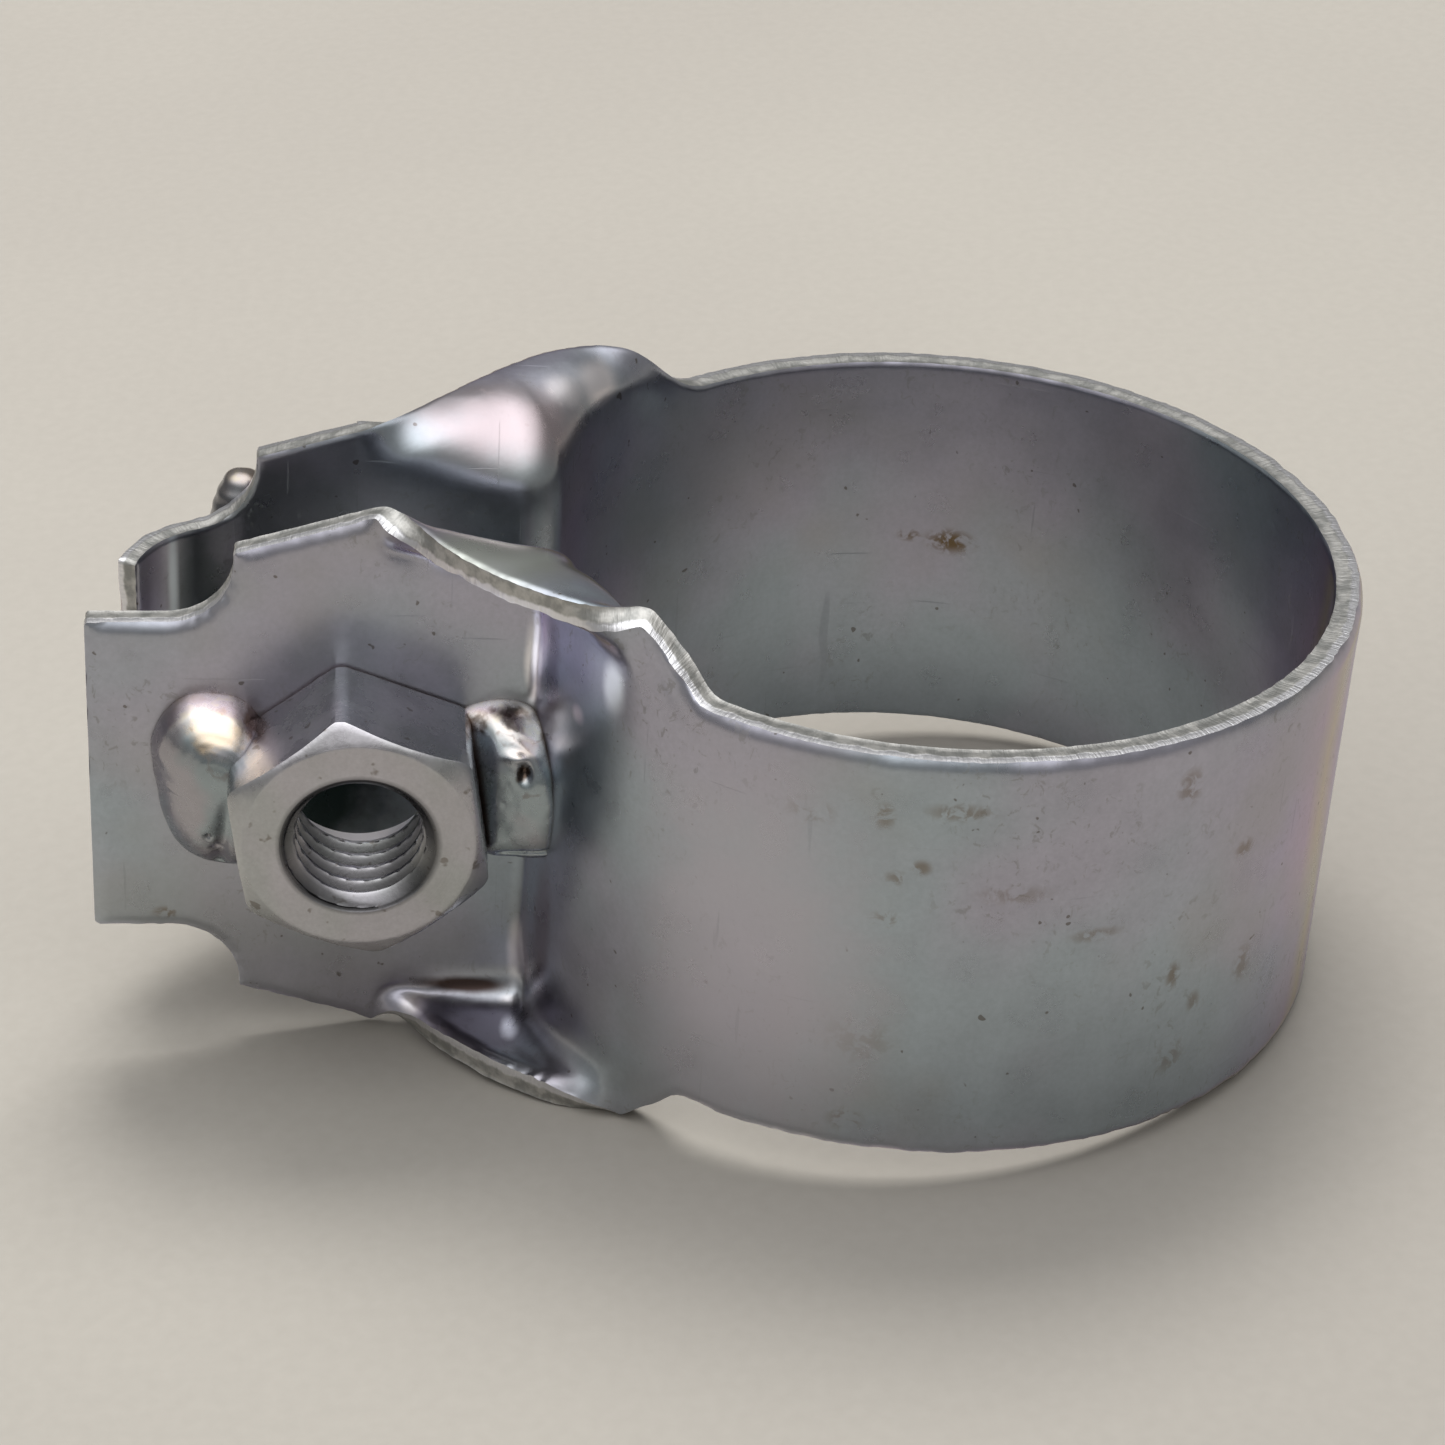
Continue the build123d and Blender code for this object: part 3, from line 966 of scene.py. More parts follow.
def cut_edge(name):
    """Sheared edge: fine lines across the thickness, bright near the outer side, then dull."""
    material, g = new_material(name)
    co = g.coord()
    u, v = g.attribute("edge_u"), g.attribute("edge_v")
    lines = g.xyz(g.times(u, 4.2), g.times(v, 0.8))
    lines = g.noise(lines, scale=1.0, detail=3.0, rough=0.65)
    limit = g.noise(g.xyz(u), scale=0.9, detail=3.0)
    zone = g.remap(g.wobble(v, limit, 0.5), low=0.25, high=0.42)
    mottle = g.noise(co, scale=900.0, detail=3.0, rough=0.6)
    bright = g.mix(lines, (0.66, 0.66, 0.68), (0.90, 0.89, 0.92))
    dull = g.remap(mottle, low=0.36, high=0.64)
    dull = g.mix(dull, (0.35, 0.35, 0.335), (0.55, 0.54, 0.515))
    roughness = g.plus(g.remap(zone, low=0, high=1, to=(0.24, 0.44)), mottle, gain=0.12)
    height = g.plus(g.times(lines, 1.0), g.times(mottle, zone), gain=0.7)
    bump = g.bump(height, strength=0.8, distance=0.00009)
    surface(
        g, Base_Color=g.mix(zone, bright, dull), Roughness=roughness, Normal=bump, Metallic=1.0
    )
    return material


def weld_metal(name, gain=1.0, marks=()):
    """Weld bead under plate: smooth and glossy, painted lighter where it faces up, dark brown at
    the toe: partly burnt scale, partly painted shade in the tight corners.
    """
    material, g = new_material(name)
    co = g.coord()
    slow = g.noise(co, scale=190.0, detail=2.0)
    mid = g.noise(co, scale=800.0, detail=3.0, rough=0.6)
    fine = g.noise(co, scale=4200.0, detail=2.0, rough=0.6)
    col = g.mix(g.remap(slow, low=0.42, high=0.62), (0.35, 0.40, 0.42), (0.40, 0.385, 0.41))
    col = g.shade(col, mid, (0.3, 0.92), (0.7, 1.05))
    # warm film colour, and painted top light: the parts that face upwards are made lighter
    normal_z = g.node("SeparateXYZ", {0: g.node("NewGeometry", {}, "Normal")}, 2)
    up = g.remap(g.wobble(normal_z, slow, 0.5), low=0.45, high=0.95)
    warm = [(0.35, (0.74, 0.62, 0.54)), (0.55, (0.78, 0.70, 0.66)), (0.7, (0.86, 0.76, 0.60))]
    col = g.mix(up, col, g.ramp(mid, warm))
    brown = g.mapping(co, loc=(0.02, 0.33, 0.1))
    brown = g.noise(brown, scale=520.0, detail=3.0, rough=0.6, distort=0.4)
    brown = g.remap(brown, low=0.63, high=0.72)
    col = g.tint(col, brown, amount=0.35, to=(0.19, 0.11, 0.07))
    col = g.patches(col, co, marks, noise=mid, ragged=1.3, low=0.45, high=1.0)
    # painted shade: near black brown in the tight corners round the toe, from ambient occlusion
    crevice_shade = g.crevices(distance=0.0006, low=0.25, high=0.66)
    # a gain below 1 paints the whole bead darker, as painted shade
    col = g.multiply(col, (gain, gain, gain))
    col = g.tint(col, crevice_shade, amount=0.9, to=(0.07, 0.038, 0.024))
    roughness = g.remap(mid, low=0.3, high=0.7, to=(0.20, 0.32))
    roughness = g.plus(roughness, g.math("ADD", brown, crevice_shade), gain=0.14)
    height = g.plus(g.times(mid, 0.6), fine, gain=0.25)
    bump = g.bump(height, strength=0.24, distance=0.00007)
    surface(g, Base_Color=col, Roughness=roughness, Normal=bump, Metallic=1.0)
    return material


def nut_metal(name):
    """Plated nut: fine turned rings on the face, painted shade in the thread, darkest at the roots.
    """
    material, g = new_material(name)
    co = g.coord()
    mid = g.noise(co, scale=420.0, detail=4.0, rough=0.6)
    fine = g.noise(co, scale=3600.0, detail=3.0, rough=0.6)
    slow = g.remap(g.noise(co, scale=120.0, detail=2.0), low=0.4, high=0.6)
    col = g.mix(slow, (0.48, 0.49, 0.49), (0.53, 0.515, 0.545))
    col = g.shade(col, mid, (0.25, 0.88), (0.75, 1.08))
    col = g.shade(col, fine, (0.3, 0.94), (0.7, 1.05))
    spots = g.noise(g.mapping(co, loc=(0.1, 0.02, 0.07)), scale=900.0, detail=2.0)
    spots = g.remap(spots, low=0.66, high=0.72)
    col = g.tint(col, spots, amount=0.6, to=(0.17, 0.14, 0.11))
    # painted shade: darker and browner in tight corners, from ambient occlusion
    crevice_shade = g.crevices(distance=0.0007, low=0.28, high=0.70)
    col = g.tint(col, crevice_shade, amount=0.5, to=(0.14, 0.09, 0.06))
    # the thread: painted shade in the bore, darker towards the roots, the crests darkened least
    radius = g.attribute("face_r")
    depth = g.remap(radius, low=4.0, high=6.0, smooth=False)
    col = g.shade(col, depth, (0.05, 0.95), (0.22, 0.45), (0.5, 0.20), (0.62, 0.6), (0.74, 1.0))
    rings = g.noise(g.xyz(g.times(radius, 9.0)), scale=1.0, detail=3.0, rough=0.7)
    on_face = g.attribute("on_face")
    grain = g.plus(g.times(mid, 0.7), fine, gain=0.4)
    height = g.math("ADD", g.times(g.times(rings, on_face), 0.8), grain)
    bump = g.bump(height, strength=0.4, distance=0.00005)
    roughness = g.remap(mid, low=0.3, high=0.7, to=(0.22, 0.34))
    roughness = g.plus(roughness, on_face, gain=0.12)
    surface(g, Base_Color=col, Roughness=roughness, Normal=bump, Metallic=1.0)
    return material


# brown blotches: centre, radii (both mm), strength
MARKS = (
    ((4.7, 25.6, 0.5), (2.6, 2.4, 1.4), 0.95),
    ((1.7, 25.9, 0.8), (1.2, 2.4, 0.8), 0.8),
    ((-3.2, -27.8, 7.3), (0.9, 1.6, 0.8), 0.6),
    ((-4.6, -27.6, 6.4), (1.1, 1.6, 0.7), 0.5),
    ((-5.1, -27.5, 3.2), (1.4, 2.0, 0.9), 0.4),
    ((13.6, -24.5, 11.6), (1.3, 1.8, 1.9), 0.5),
    ((14.2, -24.2, -3.0), (0.7, 1.4, 1.5), 0.6),
    ((-51.4, -7.9, -10.7), (1.2, 2.0, 0.7), 0.6),
    ((16.0, -23.0, -5.8), (0.7, 1.2, 1.2), 0.5),
    ((-10.2, -26.0, 10.3), (2.2, 2.0, 1.3), 0.4),
    ((-5.7, -27.4, 10.8), (0.9, 1.6, 1.3), 0.5),
    ((-1.1, -28.0, 11.5), (3.0, 1.6, 0.9), 0.5),
    ((18.3, -21.4, 5.1), (1.0, 1.6, 1.0), 0.5),
    ((19.4, -20.3, -4.6), (1.1, 1.6, 2.2), 0.45),
    ((-6.3, -27.5, -6.3), (3.2, 2.0, 2.6), 0.3),
    ((-6.6, -27.4, -12.7), (1.6, 2.0, 1.3), 0.5),
    ((2.8, -28.0, 5.4), (3.4, 2.0, 1.0), 0.3),
    ((8.4, -26.9, 1.8), (2.6, 2.0, 0.7), 0.4),
    ((14.8, -24.0, -9.6), (1.5, 2.0, 2.0), 0.4),
)
# painted highlights, painted reflections and painted shade on the sheet: centre, radii (both mm),
# colour, strength
PAINTED_LIGHT_SPOTS = (
    ((-27.1, -7.8, 9.6), (0.8, 1.0, 4.2), (1.0, 0.98, 1.0), 1.0),
    ((-27.6, -7.7, -13.6), (0.9, 1.1, 3.4), (1.0, 0.98, 1.0), 0.95),
    ((-31.0, -7.5, -16.5), (4.3, 2.5, 0.72), (0.055, 0.034, 0.028), 0.97),
    ((-27.9, -7.9, -17.45), (1.2, 1.0, 0.55), (0.98, 0.95, 0.95), 0.9),
    ((-30.2, -11.6, -18.3), (7.2, 5.6, 2.2), (0.15, 0.13, 0.16), 0.9),
    ((-24.0, -15.6, -18.6), (4.2, 3.6, 2.2), (0.22, 0.19, 0.22), 0.8),
    ((-34.4, -8.2, -18.0), (1.5, 1.2, 0.9), (0.9, 0.86, 0.9), 0.9),
    ((-27.9, -11.0, -18.6), (0.95, 2.0, 1.6), (0.92, 0.90, 0.98), 0.9),
    ((-22.9, -15.4, -19.1), (1.9, 1.6, 1.5), (1.0, 0.92, 0.95), 0.92),
    ((-42.0, 5.4, -9.5), (8.0, 1.6, 7.0), (0.022, 0.038, 0.035), 0.97),
    ((-50.4, 5.0, 6.0), (4.2, 2.2, 10.0), (0.10, 0.125, 0.12), 0.8),
    ((-51.3, 4.6, 7.0), (0.5, 2.2, 11.0), (0.70, 0.78, 0.84), 0.75),
    ((-52.7, 4.6, 7.0), (0.45, 2.2, 11.0), (0.55, 0.61, 0.65), 0.65),
    ((-43.5, 5.4, 13.0), (6.0, 1.6, 5.0), (0.24, 0.31, 0.28), 0.5),
    ((-32.5, 6.8, 9.0), (3.6, 2.2, 6.0), (0.20, 0.25, 0.23), 0.45),
    ((-30.0, 9.4, 18.1), (8.5, 5.0, 3.2), (0.50, 0.415, 0.435), 0.85),
    ((-22.4, 14.8, 18.8), (2.6, 2.6, 1.8), (1.0, 0.95, 0.97), 0.9),
    ((-14.0, -24.5, -4.0), (12.0, 9.0, 22.0), (0.53, 0.505, 0.565), 0.7),
    ((-29.0, -11.0, 19.4), (7.0, 5.5, 1.1), (0.58, 0.62, 0.54), 0.75),
    ((-25.4, 12.9, 18.8), (2.2, 2.0, 1.4), (0.95, 0.90, 0.92), 0.8),
    ((-33.6, 8.6, 17.6), (2.4, 1.6, 1.0), (0.95, 0.92, 0.92), 0.75),
    ((-22.3, -17.0, 13.2), (1.3, 1.4, 2.6), (0.90, 0.94, 1.0), 1.0),
    ((-24.4, -13.9, 9.3), (0.8, 1.2, 0.9), (0.95, 0.88, 0.97), 0.8),
    ((-26.4, -10.3, 11.0), (1.4, 1.6, 5.0), (0.22, 0.19, 0.27), 0.75),
    ((-25.9, -11.0, -9.0), (1.5, 1.7, 6.5), (0.27, 0.22, 0.26), 0.6),
)
# patches at the nut beads' toes, mostly dark brown: columns as above
WELD_MARKS = (
    ((-32.0, -9.2, 5.3), (2.3, 2.4, 0.8), (0.05, 0.028, 0.015), 0.95),
    ((-28.6, -9.3, 6.3), (3.4, 1.7, 0.55), (0.06, 0.035, 0.02), 0.85),
    ((-27.6, -11.5, 3.1), (0.6, 2.6, 0.75), (0.06, 0.032, 0.016), 0.9),
    ((-28.0, -10.5, -4.75), (3.6, 2.8, 0.5), (0.05, 0.03, 0.018), 0.9),
    ((-45.2, -9.0, 5.4), (1.1, 2.4, 0.9), (0.10, 0.05, 0.025), 0.85),
    ((-24.6, -9.6, -0.5), (0.5, 2.0, 4.0), (0.10, 0.07, 0.04), 0.7),
    ((-47.6, -11.6, 5.6), (3.2, 3.2, 1.5), (0.80, 0.62, 0.42), 0.6),
)
MAT_SHEET = zinc(
    "zinc_sheet", cool=(0.398, 0.452, 0.492), warm=(0.448, 0.440, 0.510), rough=(0.25, 0.34),
    marks=MARKS, painted_light_spots=PAINTED_LIGHT_SPOTS,
)
MAT_EDGE = cut_edge("sheared_edge")
MAT_NUT = nut_metal("zinc_nut")
MAT_WELD = weld_metal("weld_metal", marks=WELD_MARKS)
# a half-bright copy of the weld metal: painted shade for the beads on the plate side
MAT_WELD_SHADED = weld_metal("weld_metal_shaded", gain=0.5)
MAT_PLATE = zinc(
    "zinc_plate", cool=(0.58, 0.61, 0.60), warm=(0.62, 0.60, 0.62), rough=(0.24, 0.36)
)

band = build_band()
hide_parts("band_nut_half", "band_plate_half")
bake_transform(band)

# ---------------------------------------------------------------- nut
EAR_OUT = np.array([TILT_SIN, -TILT_COS, 0.0])      # out from the nut's ear
NUT_TURN = math.radians(90 + 8.3)
CHAMFER_R, CHAMFER_SLOPE = 7.62, math.tan(math.radians(31))
THREAD_PITCH, THREAD_MINOR, THREAD_MAJOR = 1.5, 4.2, 4.95
COUNTERSINK_R = 5.08


def thread_radius(theta, z):
    """Trapezoid thread: crest at the minor radius, root at the major radius."""
    phase = (z / THREAD_PITCH - theta / (2 * math.pi)) % 1.0
    from_root = np.abs(phase - 0.5) * 2
    t = clamp((0.80 - from_root) / (0.80 - 0.13))
    return THREAD_MINOR + (THREAD_MAJOR - THREAD_MINOR) * (t * 0.85 + 0.15 * ease(t))


def hexagon_radius(theta):
    """Radius of the nut's side, with its six corners softened."""
    angle = (theta - NUT_TURN) % (math.pi / 3) - math.pi / 6
    corner = NUT_AF / 2 / math.cos(math.pi / 6)
    radius = np.minimum(NUT_AF / 2 / np.cos(angle), corner - 0.16)
    sharp = 14
    return -np.log(np.exp(-radius * sharp) + np.exp(-(corner - 0.12) * sharp)) / sharp


def build_nut():
    n = 180
    theta = np.linspace(0, 2 * math.pi, n, endpoint=False)
    side = hexagon_radius(theta)
    top = NUT_H - np.clip(side - CHAMFER_R, 0, None) * CHAMFER_SLOPE
    rows = []

    def row(r, z, on_face=0.0):
        r, z = r + 0 * theta, z + 0 * theta
        points = np.stack([r * np.cos(theta), r * np.sin(theta), z], -1)
        rows.append((points, r, np.full(n, on_face)))

    row(side - 0.25, 0.0)
    row(side, 0.22)
    for k in (0.15, 0.35, 0.55, 0.75, 0.9):
        row(side, 0.22 + (top - 0.30) * k)
    row(side, top - 0.08)
    # chamfer, rounded in and out
    row(side - 0.07, top)
    for k in (0.35, 0.7):
        r = side + (CHAMFER_R - side) * k
        row(r, NUT_H - np.clip(r - CHAMFER_R, 0, None) * CHAMFER_SLOPE - 0.01)
    row(CHAMFER_R + 0.06, NUT_H - 0.05)
    # face, slightly dished
    row(CHAMFER_R - 0.05, NUT_H - 0.005, 1.0)
    row(CHAMFER_R - 0.2, NUT_H, 1.0)
    for r in (7.1, 6.6, 6.1, 5.7, 5.4):
        row(r, NUT_H - 0.03 * math.sin((7.6 - r) / 2.4 * math.pi), 1.0)
    row(5.18, NUT_H, 1.0)
    row(5.10, NUT_H - 0.05)
    # thread, countersunk at both ends
    turns = 118
    for z in NUT_H - 0.12 - (NUT_H - 0.24) * (np.arange(turns) / (turns - 1)):
        row(np.maximum(thread_radius(theta, z), COUNTERSINK_R - min(z, NUT_H - z)), z)
    row(5.10, 0.05)
    row(5.2, 0.0)
    points, face_r, on_face = (np.concatenate(part) for part in zip(*rows))
    # wear and small nicks on the sides and the chamfer
    wear = noise3(points / 0.9, 21) * 0.025 + noise3(points / 0.35, 22) * 0.010
    radial = points * [1, 1, 0] / np.maximum(np.hypot(points[:, 0], points[:, 1]), 1e-6)[:, None]
    points = points + radial * (wear * (face_r > 7.0))[:, None]
    seat = np.array([NUT_X, -ear_y(NUT_X), 0.0])
    return make_mesh(
        "hex_nut_threaded", place(points, seat, np.array([TILT_COS, TILT_SIN, 0.0]), EAR_OUT),
        ring_faces(len(rows), n, closed=True), (MAT_NUT,), smooth_deg=24,
        attributes={"face_r": face_r, "on_face": on_face},
    )


stand_in(build_nut(), "hex_nut", "nut_side")

# ---------------------------------------------------------------- weld beads
SKIN = section(np.linspace(0.0, S_WEB1 + 4.0, 1200))[0]
SKIN_X = np.maximum.accumulate(SKIN[:, 0]) + np.arange(len(SKIN)) * 1e-7


def skin(x):
    """How far the sheet's outer side is from the mid plane between the ears, at x."""
    return np.interp(x, SKIN_X, -SKIN[:, 1])


def long_bead(name, centre, radii, ripple_z, ripple, swell, grain, seed, lats, sunk=False):
    """A closed superellipsoid, long in Z, rippled in arcs round z = ripple_z and uneven."""
    n = 96
    lats, lons = np.meshgrid(
        np.linspace(-math.pi / 2, math.pi / 2, lats + 1)[1:-1],
        np.linspace(0, 2 * math.pi, n, endpoint=False), indexing="ij",
    )

    def squared(v):
        return np.sign(v) * np.abs(v) ** 0.8

    ball = np.stack([
        squared(np.cos(lats)) * squared(np.cos(lons)),
        squared(np.cos(lats)) * squared(np.sin(lons)),
        squared(np.sin(lats)),
    ], -1)
    ball = np.vstack([ball.reshape(-1, 3), [[0, 0, -1], [0, 0, 1]]])
    points = ball * np.array(radii)
    wave = np.sin(2 * math.pi * np.hypot(points[:, 0], points[:, 2] - ripple_z))
    rise = 0.085 * wave * ripple
    rise = rise + swell * noise3(points / 2.3 + seed, seed)
    rise = rise + grain * noise3(points / 0.8, seed + 1)
    points = points + unit(ball / np.array(radii)) * rise[:, None] + np.array(centre)
    if sunk:
        points[:, 1] = np.maximum(points[:, 1], skin(points[:, 0]) - WELD_SINK)
    return make_mesh(name, points, lump_faces(len(lats), n), (MAT_WELD_SHADED,), smooth_deg=60)


def fillet_bead(name, outline, centre, height, profile, detail, seed):
    """A bead on the nut's ear: outline (x, z), domed outwards, its toe sunk in the sheet."""
    n = 180
    points = np.array(outline)
    dense = catmull(np.vstack([points[-1:], points, points[:2]]), steps=24) - np.array(centre)
    angle = np.arctan2(dense[:, 1], dense[:, 0])
    order = np.argsort(angle)
    angle, radius = angle[order], np.hypot(dense[:, 0], dense[:, 1])[order]
    theta = np.linspace(-math.pi, math.pi, n, endpoint=False)
    turns = np.concatenate([angle - 2 * math.pi, angle, angle + 2 * math.pi])
    reach = np.interp(theta, turns, np.tile(radius, 3))
    reach = reach * (1 + 0.010 * noise1(theta * 4.1, seed) + 0.002 * noise1(theta * 17.0, seed + 1))
    share = (np.sin(np.linspace(0, math.pi / 2, 64)[1:]) ** 1.05)[:, None]
    x = centre[0] + reach * share * np.cos(theta)
    z = centre[1] + reach * share * np.sin(theta)
    inset = (1 - share) * reach             # distance in from the toe
    rise = height(x, z) * profile(share, x, z) + detail(x, z, inset) * clamp(inset / 0.35)
    dome = np.stack([x, z, rise], -1)
    # a wall down into the sheet, then the base
    depth = -0.4
    wall = dome[-1].copy()
    wall[:, 2] = depth
    wall_in = wall.copy()
    wall_in[:, :2] = np.array(centre) + (wall[:, :2] - np.array(centre)) * 0.9
    tips = [[*centre, dome[0, :, 2].mean()], [*centre, depth]]
    x, z, rise = np.vstack([dome.reshape(-1, 3), wall, wall_in, tips]).T
    # the sheet turns outwards at the bend, and the bead follows it
    floor_rise = (skin(x - BEND_LEAN * z) - ear_y(x)) / TILT_COS - WELD_SINK
    rise = np.maximum(rise, floor_rise)
    points = np.stack([x, -ear_y(x), z], -1) + rise[:, None] * EAR_OUT
    return make_mesh(name, points, lump_faces(len(dome) + 2, n), (MAT_WELD,), smooth_deg=60)


def ear_noise(x, z, size, seed):
    return noise3(np.stack([x, z, 0 * x], -1) / size, seed)


# outlines (x, z) of the nut's two beads
LEFT_OUTLINE = [
    (-45.0, 5.0), (-45.9, 6.1), (-47.1, 6.72), (-48.5, 6.85), (-49.8, 6.55), (-50.8, 5.75),
    (-51.6, 4.6), (-52.05, 3.1), (-52.0, 1.3), (-51.76, -0.6), (-51.5, -2.2), (-51.1, -3.7),
    (-50.45, -4.85), (-49.6, -5.75), (-48.4, -6.35), (-46.9, -6.6), (-45.5, -6.3),
    (-44.6, -5.0), (-44.1, -2.2), (-44.1, 1.2), (-44.4, 3.5),
]
RIGHT_OUTLINE = [
    (-33.0, 4.2), (-32.0, 5.4), (-30.7, 6.15), (-29.4, 6.45), (-28.0, 6.35), (-26.8, 5.85),
    (-25.9, 5.2), (-25.1, 3.9), (-24.6, 2.2), (-24.4, 0.4), (-24.4, -1.4), (-24.6, -3.2),
    (-25.1, -4.4), (-26.2, -4.85), (-28.1, -4.85), (-29.8, -4.9), (-31.6, -4.5),
    (-32.4, -2.4), (-32.8, 0.2), (-33.1, 2.4),
]


def left_profile(share, x, z):
    t = ramp_up(z, 0.5, 5.0)
    return (1 - share ** (1.75 + 1.0 * t)) ** (0.70 - 0.14 * t)


def left_height(x, z):
    return 3.75 + 0.85 * ramp_up(z, -6, 3) + 0.10 * (x + 47.0)


def left_detail(x, z, inset):
    top = ramp_up(z, 2.2, 4.6)
    lines = 0.009 * np.sin(2 * math.pi * inset / 0.62 + 1.2 * noise1(x / 1.3, 61)) * top
    lip = 0.10 * bell((inset - 0.55) / 0.22) * top
    wrinkle = 0.03 * ear_noise(x, z, 0.9, 63) * ramp_up(z, 0.8, 2.6)
    wrinkle = wrinkle * ramp_up(x, -50.2, -48.6) * (1 - ramp_up(z, 4.6, 5.6))
    valley = -0.55 * bell((x + 47.4 - 0.10 * (z + 3)) / 0.55) * (1 - ramp_up(z, -1.0, 2.5))
    pits = -0.5 * bell((x + 48.3) / 0.22, (z + 2.6) / 0.28)
    pits = pits - 0.4 * bell((x + 47.9) / 0.3, (z + 3.9) / 0.2)
    return lines + lip + wrinkle + valley + pits + 0.05 * ear_noise(x, z, 2.4, 65)


def right_profile(share, x, z):
    t = ramp_up(z, 1.0, 4.5)
    return (1 - share ** (4.6 - 1.6 * t)) ** (0.5 + 0.03 * t)


def right_height(x, z):
    return (4.25 + 0.22 * (x + 28.0)) * (0.72 + 0.28 * ramp_up(x, -31.2, -29.2))


def right_detail(x, z, inset):
    arcs = 0.04 * np.sin(2 * math.pi * inset / 0.66) * ramp_up(z, 3.2, 5.0)
    arcs = arcs * ramp_up(x, -29.0, -27.0)
    pit = -0.55 * bell((x + 27.55) / 0.42, (z - 3.05) / 0.62)
    lump = 0.28 * bell((x + 28.0) / 0.9, (z - 4.1) / 0.35)
    crack = -0.32 * bell((z + 3.35 - 0.18 * (x + 28)) / 0.20)
    crack = crack * ramp_up(x, -29.6, -28.6) * (1 - ramp_up(x, -26.0, -25.2))
    grain = 0.05 * ear_noise(x, z, 1.7, 67) + 0.02 * ear_noise(x, z, 0.6, 69)
    return arcs + pit + lump + crack + grain


nut_left = fillet_bead(
    "nut_weld_bead_left", LEFT_OUTLINE, centre=(-46.7, 0.3), height=left_height,
    profile=left_profile, detail=left_detail, seed=31,
)
stand_in(nut_left, "nut_weld_left", "nut_side")
nut_right = fillet_bead(
    "nut_weld_bead_right", RIGHT_OUTLINE, centre=(-28.1, 0.6), height=right_height,
    profile=right_profile, detail=right_detail, seed=37,
)
stand_in(nut_right, "nut_weld_right", "nut_side")
plate_left = long_bead(
    "plate_weld_bead_left", centre=(-46.85, 8.95, 1.7), radii=(2.7, 2.7, 12.75),
    ripple_z=-14.0, ripple=0.35, swell=0.10, grain=0.03, seed=43, lats=120,
)
stand_in(plate_left, "plate_weld_left", "plate_side")
plate_right = long_bead(
    "plate_weld_bead_right", centre=(-29.2, 7.9, 0.0), radii=(2.9, 3.15, 8.6),
    ripple_z=-12.0, ripple=0.9, swell=0.16, grain=0.06, seed=47, lats=100, sunk=True,
)
stand_in(plate_right, "plate_weld_right", "plate_side")

# ---------------------------------------------------------------- backing plate
PLATE_X0, PLATE_X1 = -46.2, -30.6
PLATE_HALF_Z, PLATE_T = 11.5, 4.0
PLATE_CORNER_R, PLATE_EDGE = 1.5, 0.25


def rounded_rectangle(theta, half_x, half_z):
    """Distance from the centre to a rounded rectangle, by halving."""
    low, high = np.zeros(len(theta)), np.full(len(theta), 40.0)
    for _ in range(40):
        middle = (low + high) / 2
        x = np.abs(middle * np.cos(theta)) - (half_x - PLATE_CORNER_R)
        z = np.abs(middle * np.sin(theta)) - (half_z - PLATE_CORNER_R)
        outside = np.hypot(np.maximum(x, 0), np.maximum(z, 0)) + np.minimum(np.maximum(x, z), 0)
        outside = outside > PLATE_CORNER_R
        high = np.where(outside, middle, high)
        low = np.where(outside, low, middle)
    return low


def build_plate():
    n = 192
    theta = np.linspace(0, 2 * math.pi, n, endpoint=False)
    reach = rounded_rectangle(theta, (PLATE_X1 - PLATE_X0) / 2, PLATE_HALF_Z)
    shift = -((PLATE_X0 + PLATE_X1) / 2 - NUT_X) / TILT_COS
    edge, inset = PLATE_EDGE, PLATE_EDGE / 9
    # share of the outline, height over the ear
    outline_rows = (
        (1 - inset, 0.0), (1.0, edge), (1.0, PLATE_T / 2), (1.0, PLATE_T - edge),
        (1 - 0.4 * inset, PLATE_T - 0.4 * edge), (1 - inset, PLATE_T),
        (1 - 2.4 * inset, PLATE_T),
    )
    # radius, height over the ear
    hole_rows = (
        (HOLE_R + 1.2, PLATE_T), (HOLE_R + 0.3, PLATE_T), (HOLE_R + 0.1, PLATE_T - 0.1),
        (HOLE_R, PLATE_T - 0.3), (HOLE_R, PLATE_T / 2), (HOLE_R, 0.3), (HOLE_R + 0.3, 0.0),
    )
    rows = [(shift, share * reach, height) for share, height in outline_rows]
    rows += [(0.0, radius, height) for radius, height in hole_rows]
    points = np.vstack([
        np.stack([x + r * np.cos(theta), r * np.sin(theta), np.full(n, height)], -1)
        for x, r, height in rows
    ])
    seat = np.array([NUT_X, ear_y(NUT_X), 0.0])
    along, out = np.array([-TILT_COS, TILT_SIN, 0.0]), np.array([TILT_SIN, TILT_COS, 0.0])
    return make_mesh(
        "backing_plate_steel", place(points, seat, along, out),
        ring_faces(len(rows), n, closed=True), (MAT_PLATE,), smooth_deg=30,
    )


stand_in(build_plate(), "backing_plate", "plate_side")


# ---------------------------------------------------------------- floor, light, camera
def floor_material():
    material, g = new_material("pale_floor")
    co = g.coord()
    slow = g.remap(g.noise(co, scale=9.0, detail=3.0), low=0.35, high=0.65)
    fine = g.noise(co, scale=900.0, detail=2.0)
    col = g.mix(slow, (0.300, 0.281, 0.253), (0.318, 0.299, 0.268))
    col = g.shade(col, fine, (0.3, 0.98), (0.7, 1.02))
    # painted shade: the floor is darker towards +Y
    along = g.plus(g.node("SeparateXYZ", {0: co}, 1), g.node("SeparateXYZ", {0: co}, 0), -0.35)
    along = g.remap(along, low=-0.16, high=0.22, smooth=False)
    col = g.shade(col, along, (0.0, 0.92), (0.25, 0.91), (0.6, 0.83), (1.0, 0.79))
    surface(g, Base_Color=col, Roughness=0.8, Specular_IOR_Level=0.2)
    return material


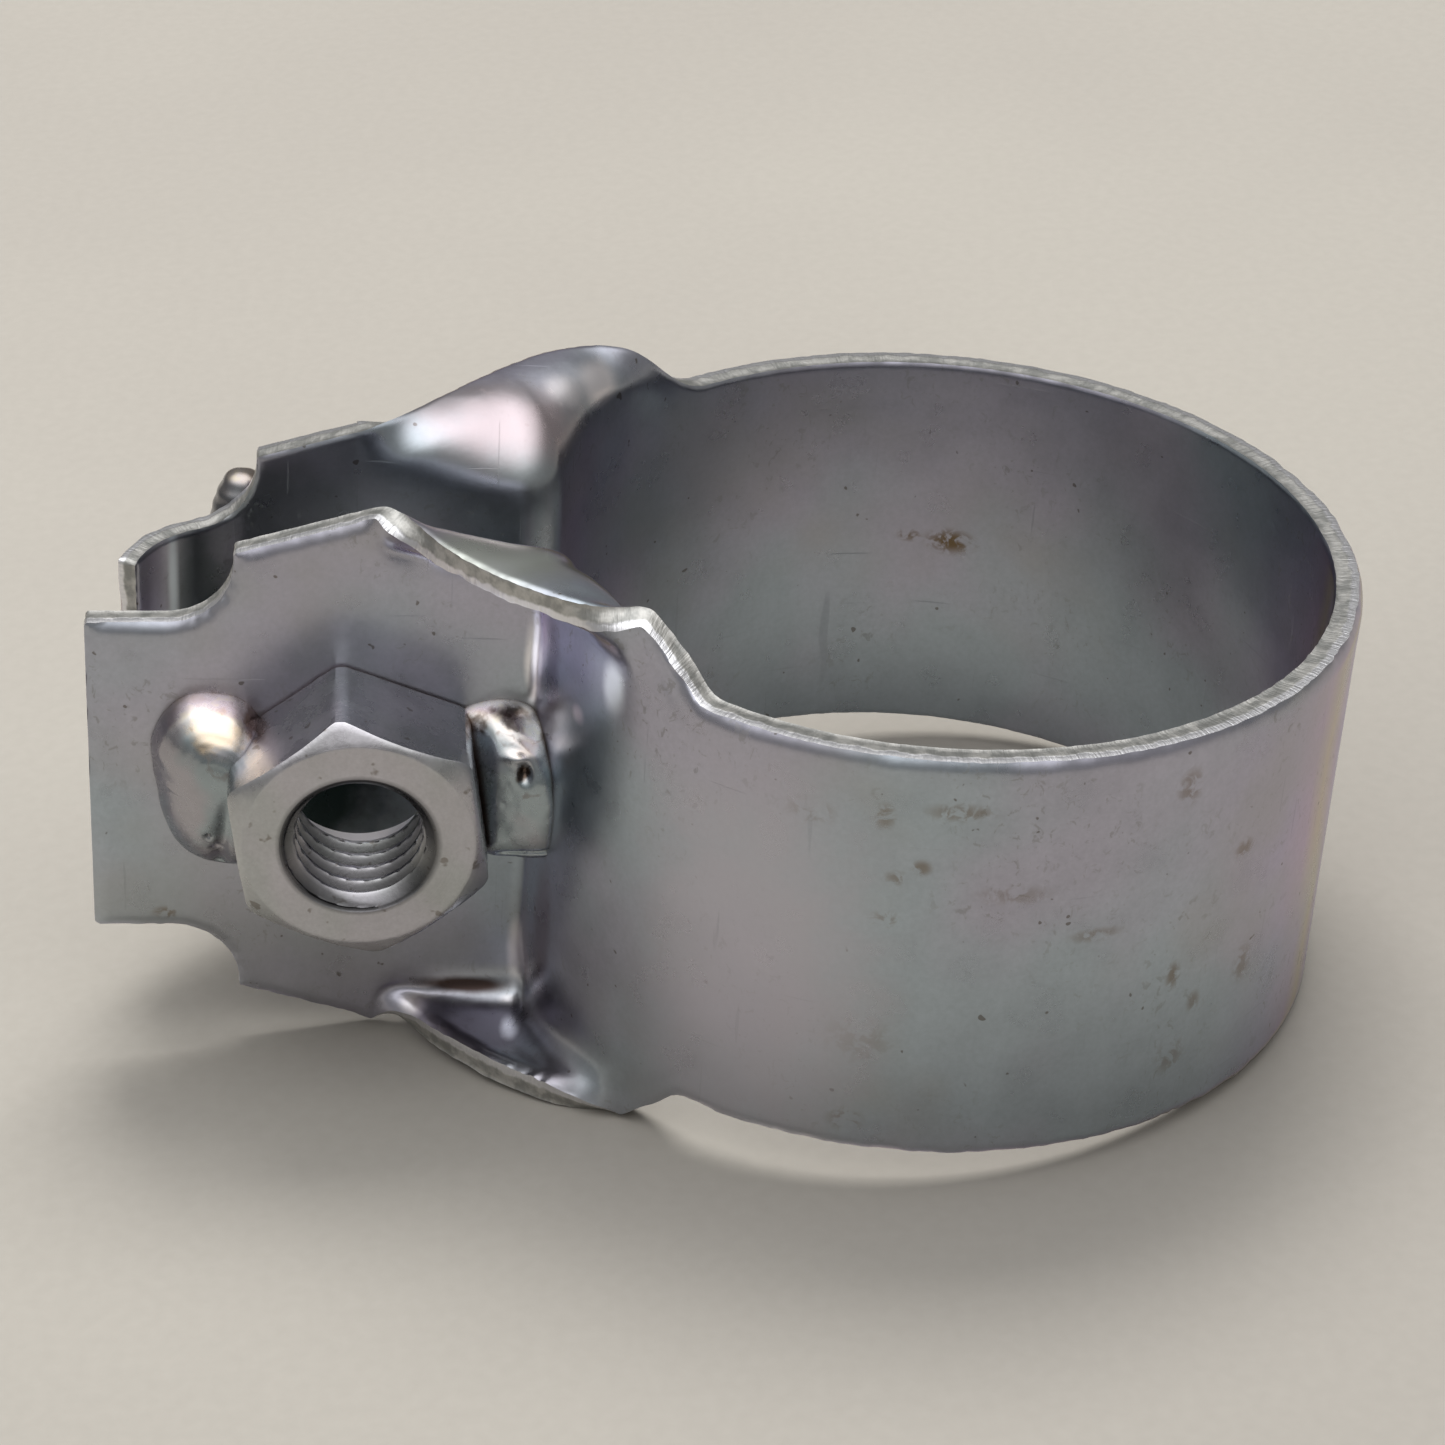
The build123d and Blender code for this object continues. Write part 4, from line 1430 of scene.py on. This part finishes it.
def build_floor():
    """z = height + slope x: touches the webs' undersides and the ring's far end."""
    height, slope, half = -17.53 / 1000.0, 0.0896, 3.0
    mesh = bpy.data.meshes.new("floor")
    corners = [(-half, -half, 0), (half, -half, 0), (half, half, 0), (-half, half, 0)]
    mesh.from_pydata(corners, [], [(0, 1, 2, 3)])
    mesh.materials.append(floor_material())
    floor = add_object("floor", mesh)
    normal = Vector((-slope, 0.0, 1.0)).normalized()
    turn = normal.to_track_quat("Z", "Y").to_matrix().to_4x4()
    floor.matrix_world = Matrix.Translation((0, 0, height)) @ turn
    return floor


def add_camera():
    data = bpy.data.cameras.new("camera")
    camera = add_object("camera", data)
    camera.matrix_world = Matrix((
        (0.99766, -0.01822, -0.0660, -0.03342),
        (-0.04648, 0.52767, -0.8482, -0.22494),
        (0.05031, 0.84931, 0.5256, 0.14007),
        (0, 0, 0, 1),
    ))
    data.sensor_width = 36.0
    data.lens = 96.25
    data.shift_x = 0.0222
    data.shift_y = -0.0030
    data.clip_start = 0.01
    bpy.context.scene.camera = camera


def add_world():
    """One broad soft light overhead, leaning to -Y, fading to a dim room at the sides."""
    world = bpy.data.worlds.new("world")
    bpy.context.scene.world = world
    world.use_nodes = True
    g = Graph(world.node_tree)
    overhead = Vector((-0.12, -0.14, 0.98)).normalized()
    height = g.node(
        "VectorMath", {0: g.coord("Generated"), 1: overhead}, "Value", operation="DOT_PRODUCT"
    )
    level = g.ramp(g.remap(height, low=-0.2, high=1.0, smooth=False), [
        (0.0, 0.09), (0.167, 0.105), (0.45, 0.12), (0.57, 0.15), (0.66, 0.26),
        (0.76, 0.48), (0.86, 0.76), (0.94, 1.0), (1.0, 1.05),
    ])
    colour = g.multiply(g.mix(level, (0.99, 0.985, 0.96), (0.985, 0.99, 1.0)), level)
    g.node("OutputWorld", {0: g.node("Background", {"Color": colour, "Strength": 2.35})})


def add_back_lamp():
    """Fills the floor only: the plated steel mirrors the dome."""
    data = bpy.data.lights.new("back_lamp", "AREA")
    data.shape = "RECTANGLE"
    data.size, data.size_y = 0.28, 0.22
    data.energy = 3.6
    data.color = (1.0, 0.99, 0.97)
    lamp = add_object("back_lamp", data)
    lamp.location = (-0.02, 0.22, 0.50)
    aim = Vector((-0.01, -0.02, -0.02)) - Vector((-0.02, 0.22, 0.50))
    lamp.rotation_euler = aim.to_track_quat("-Z", "Y").to_euler()
    lamp.visible_glossy = False


build_floor()
add_camera()
add_world()
add_back_lamp()

view = bpy.context.scene.view_settings
view.view_transform = "Standard"
view.look = "None"
view.exposure = 0.0
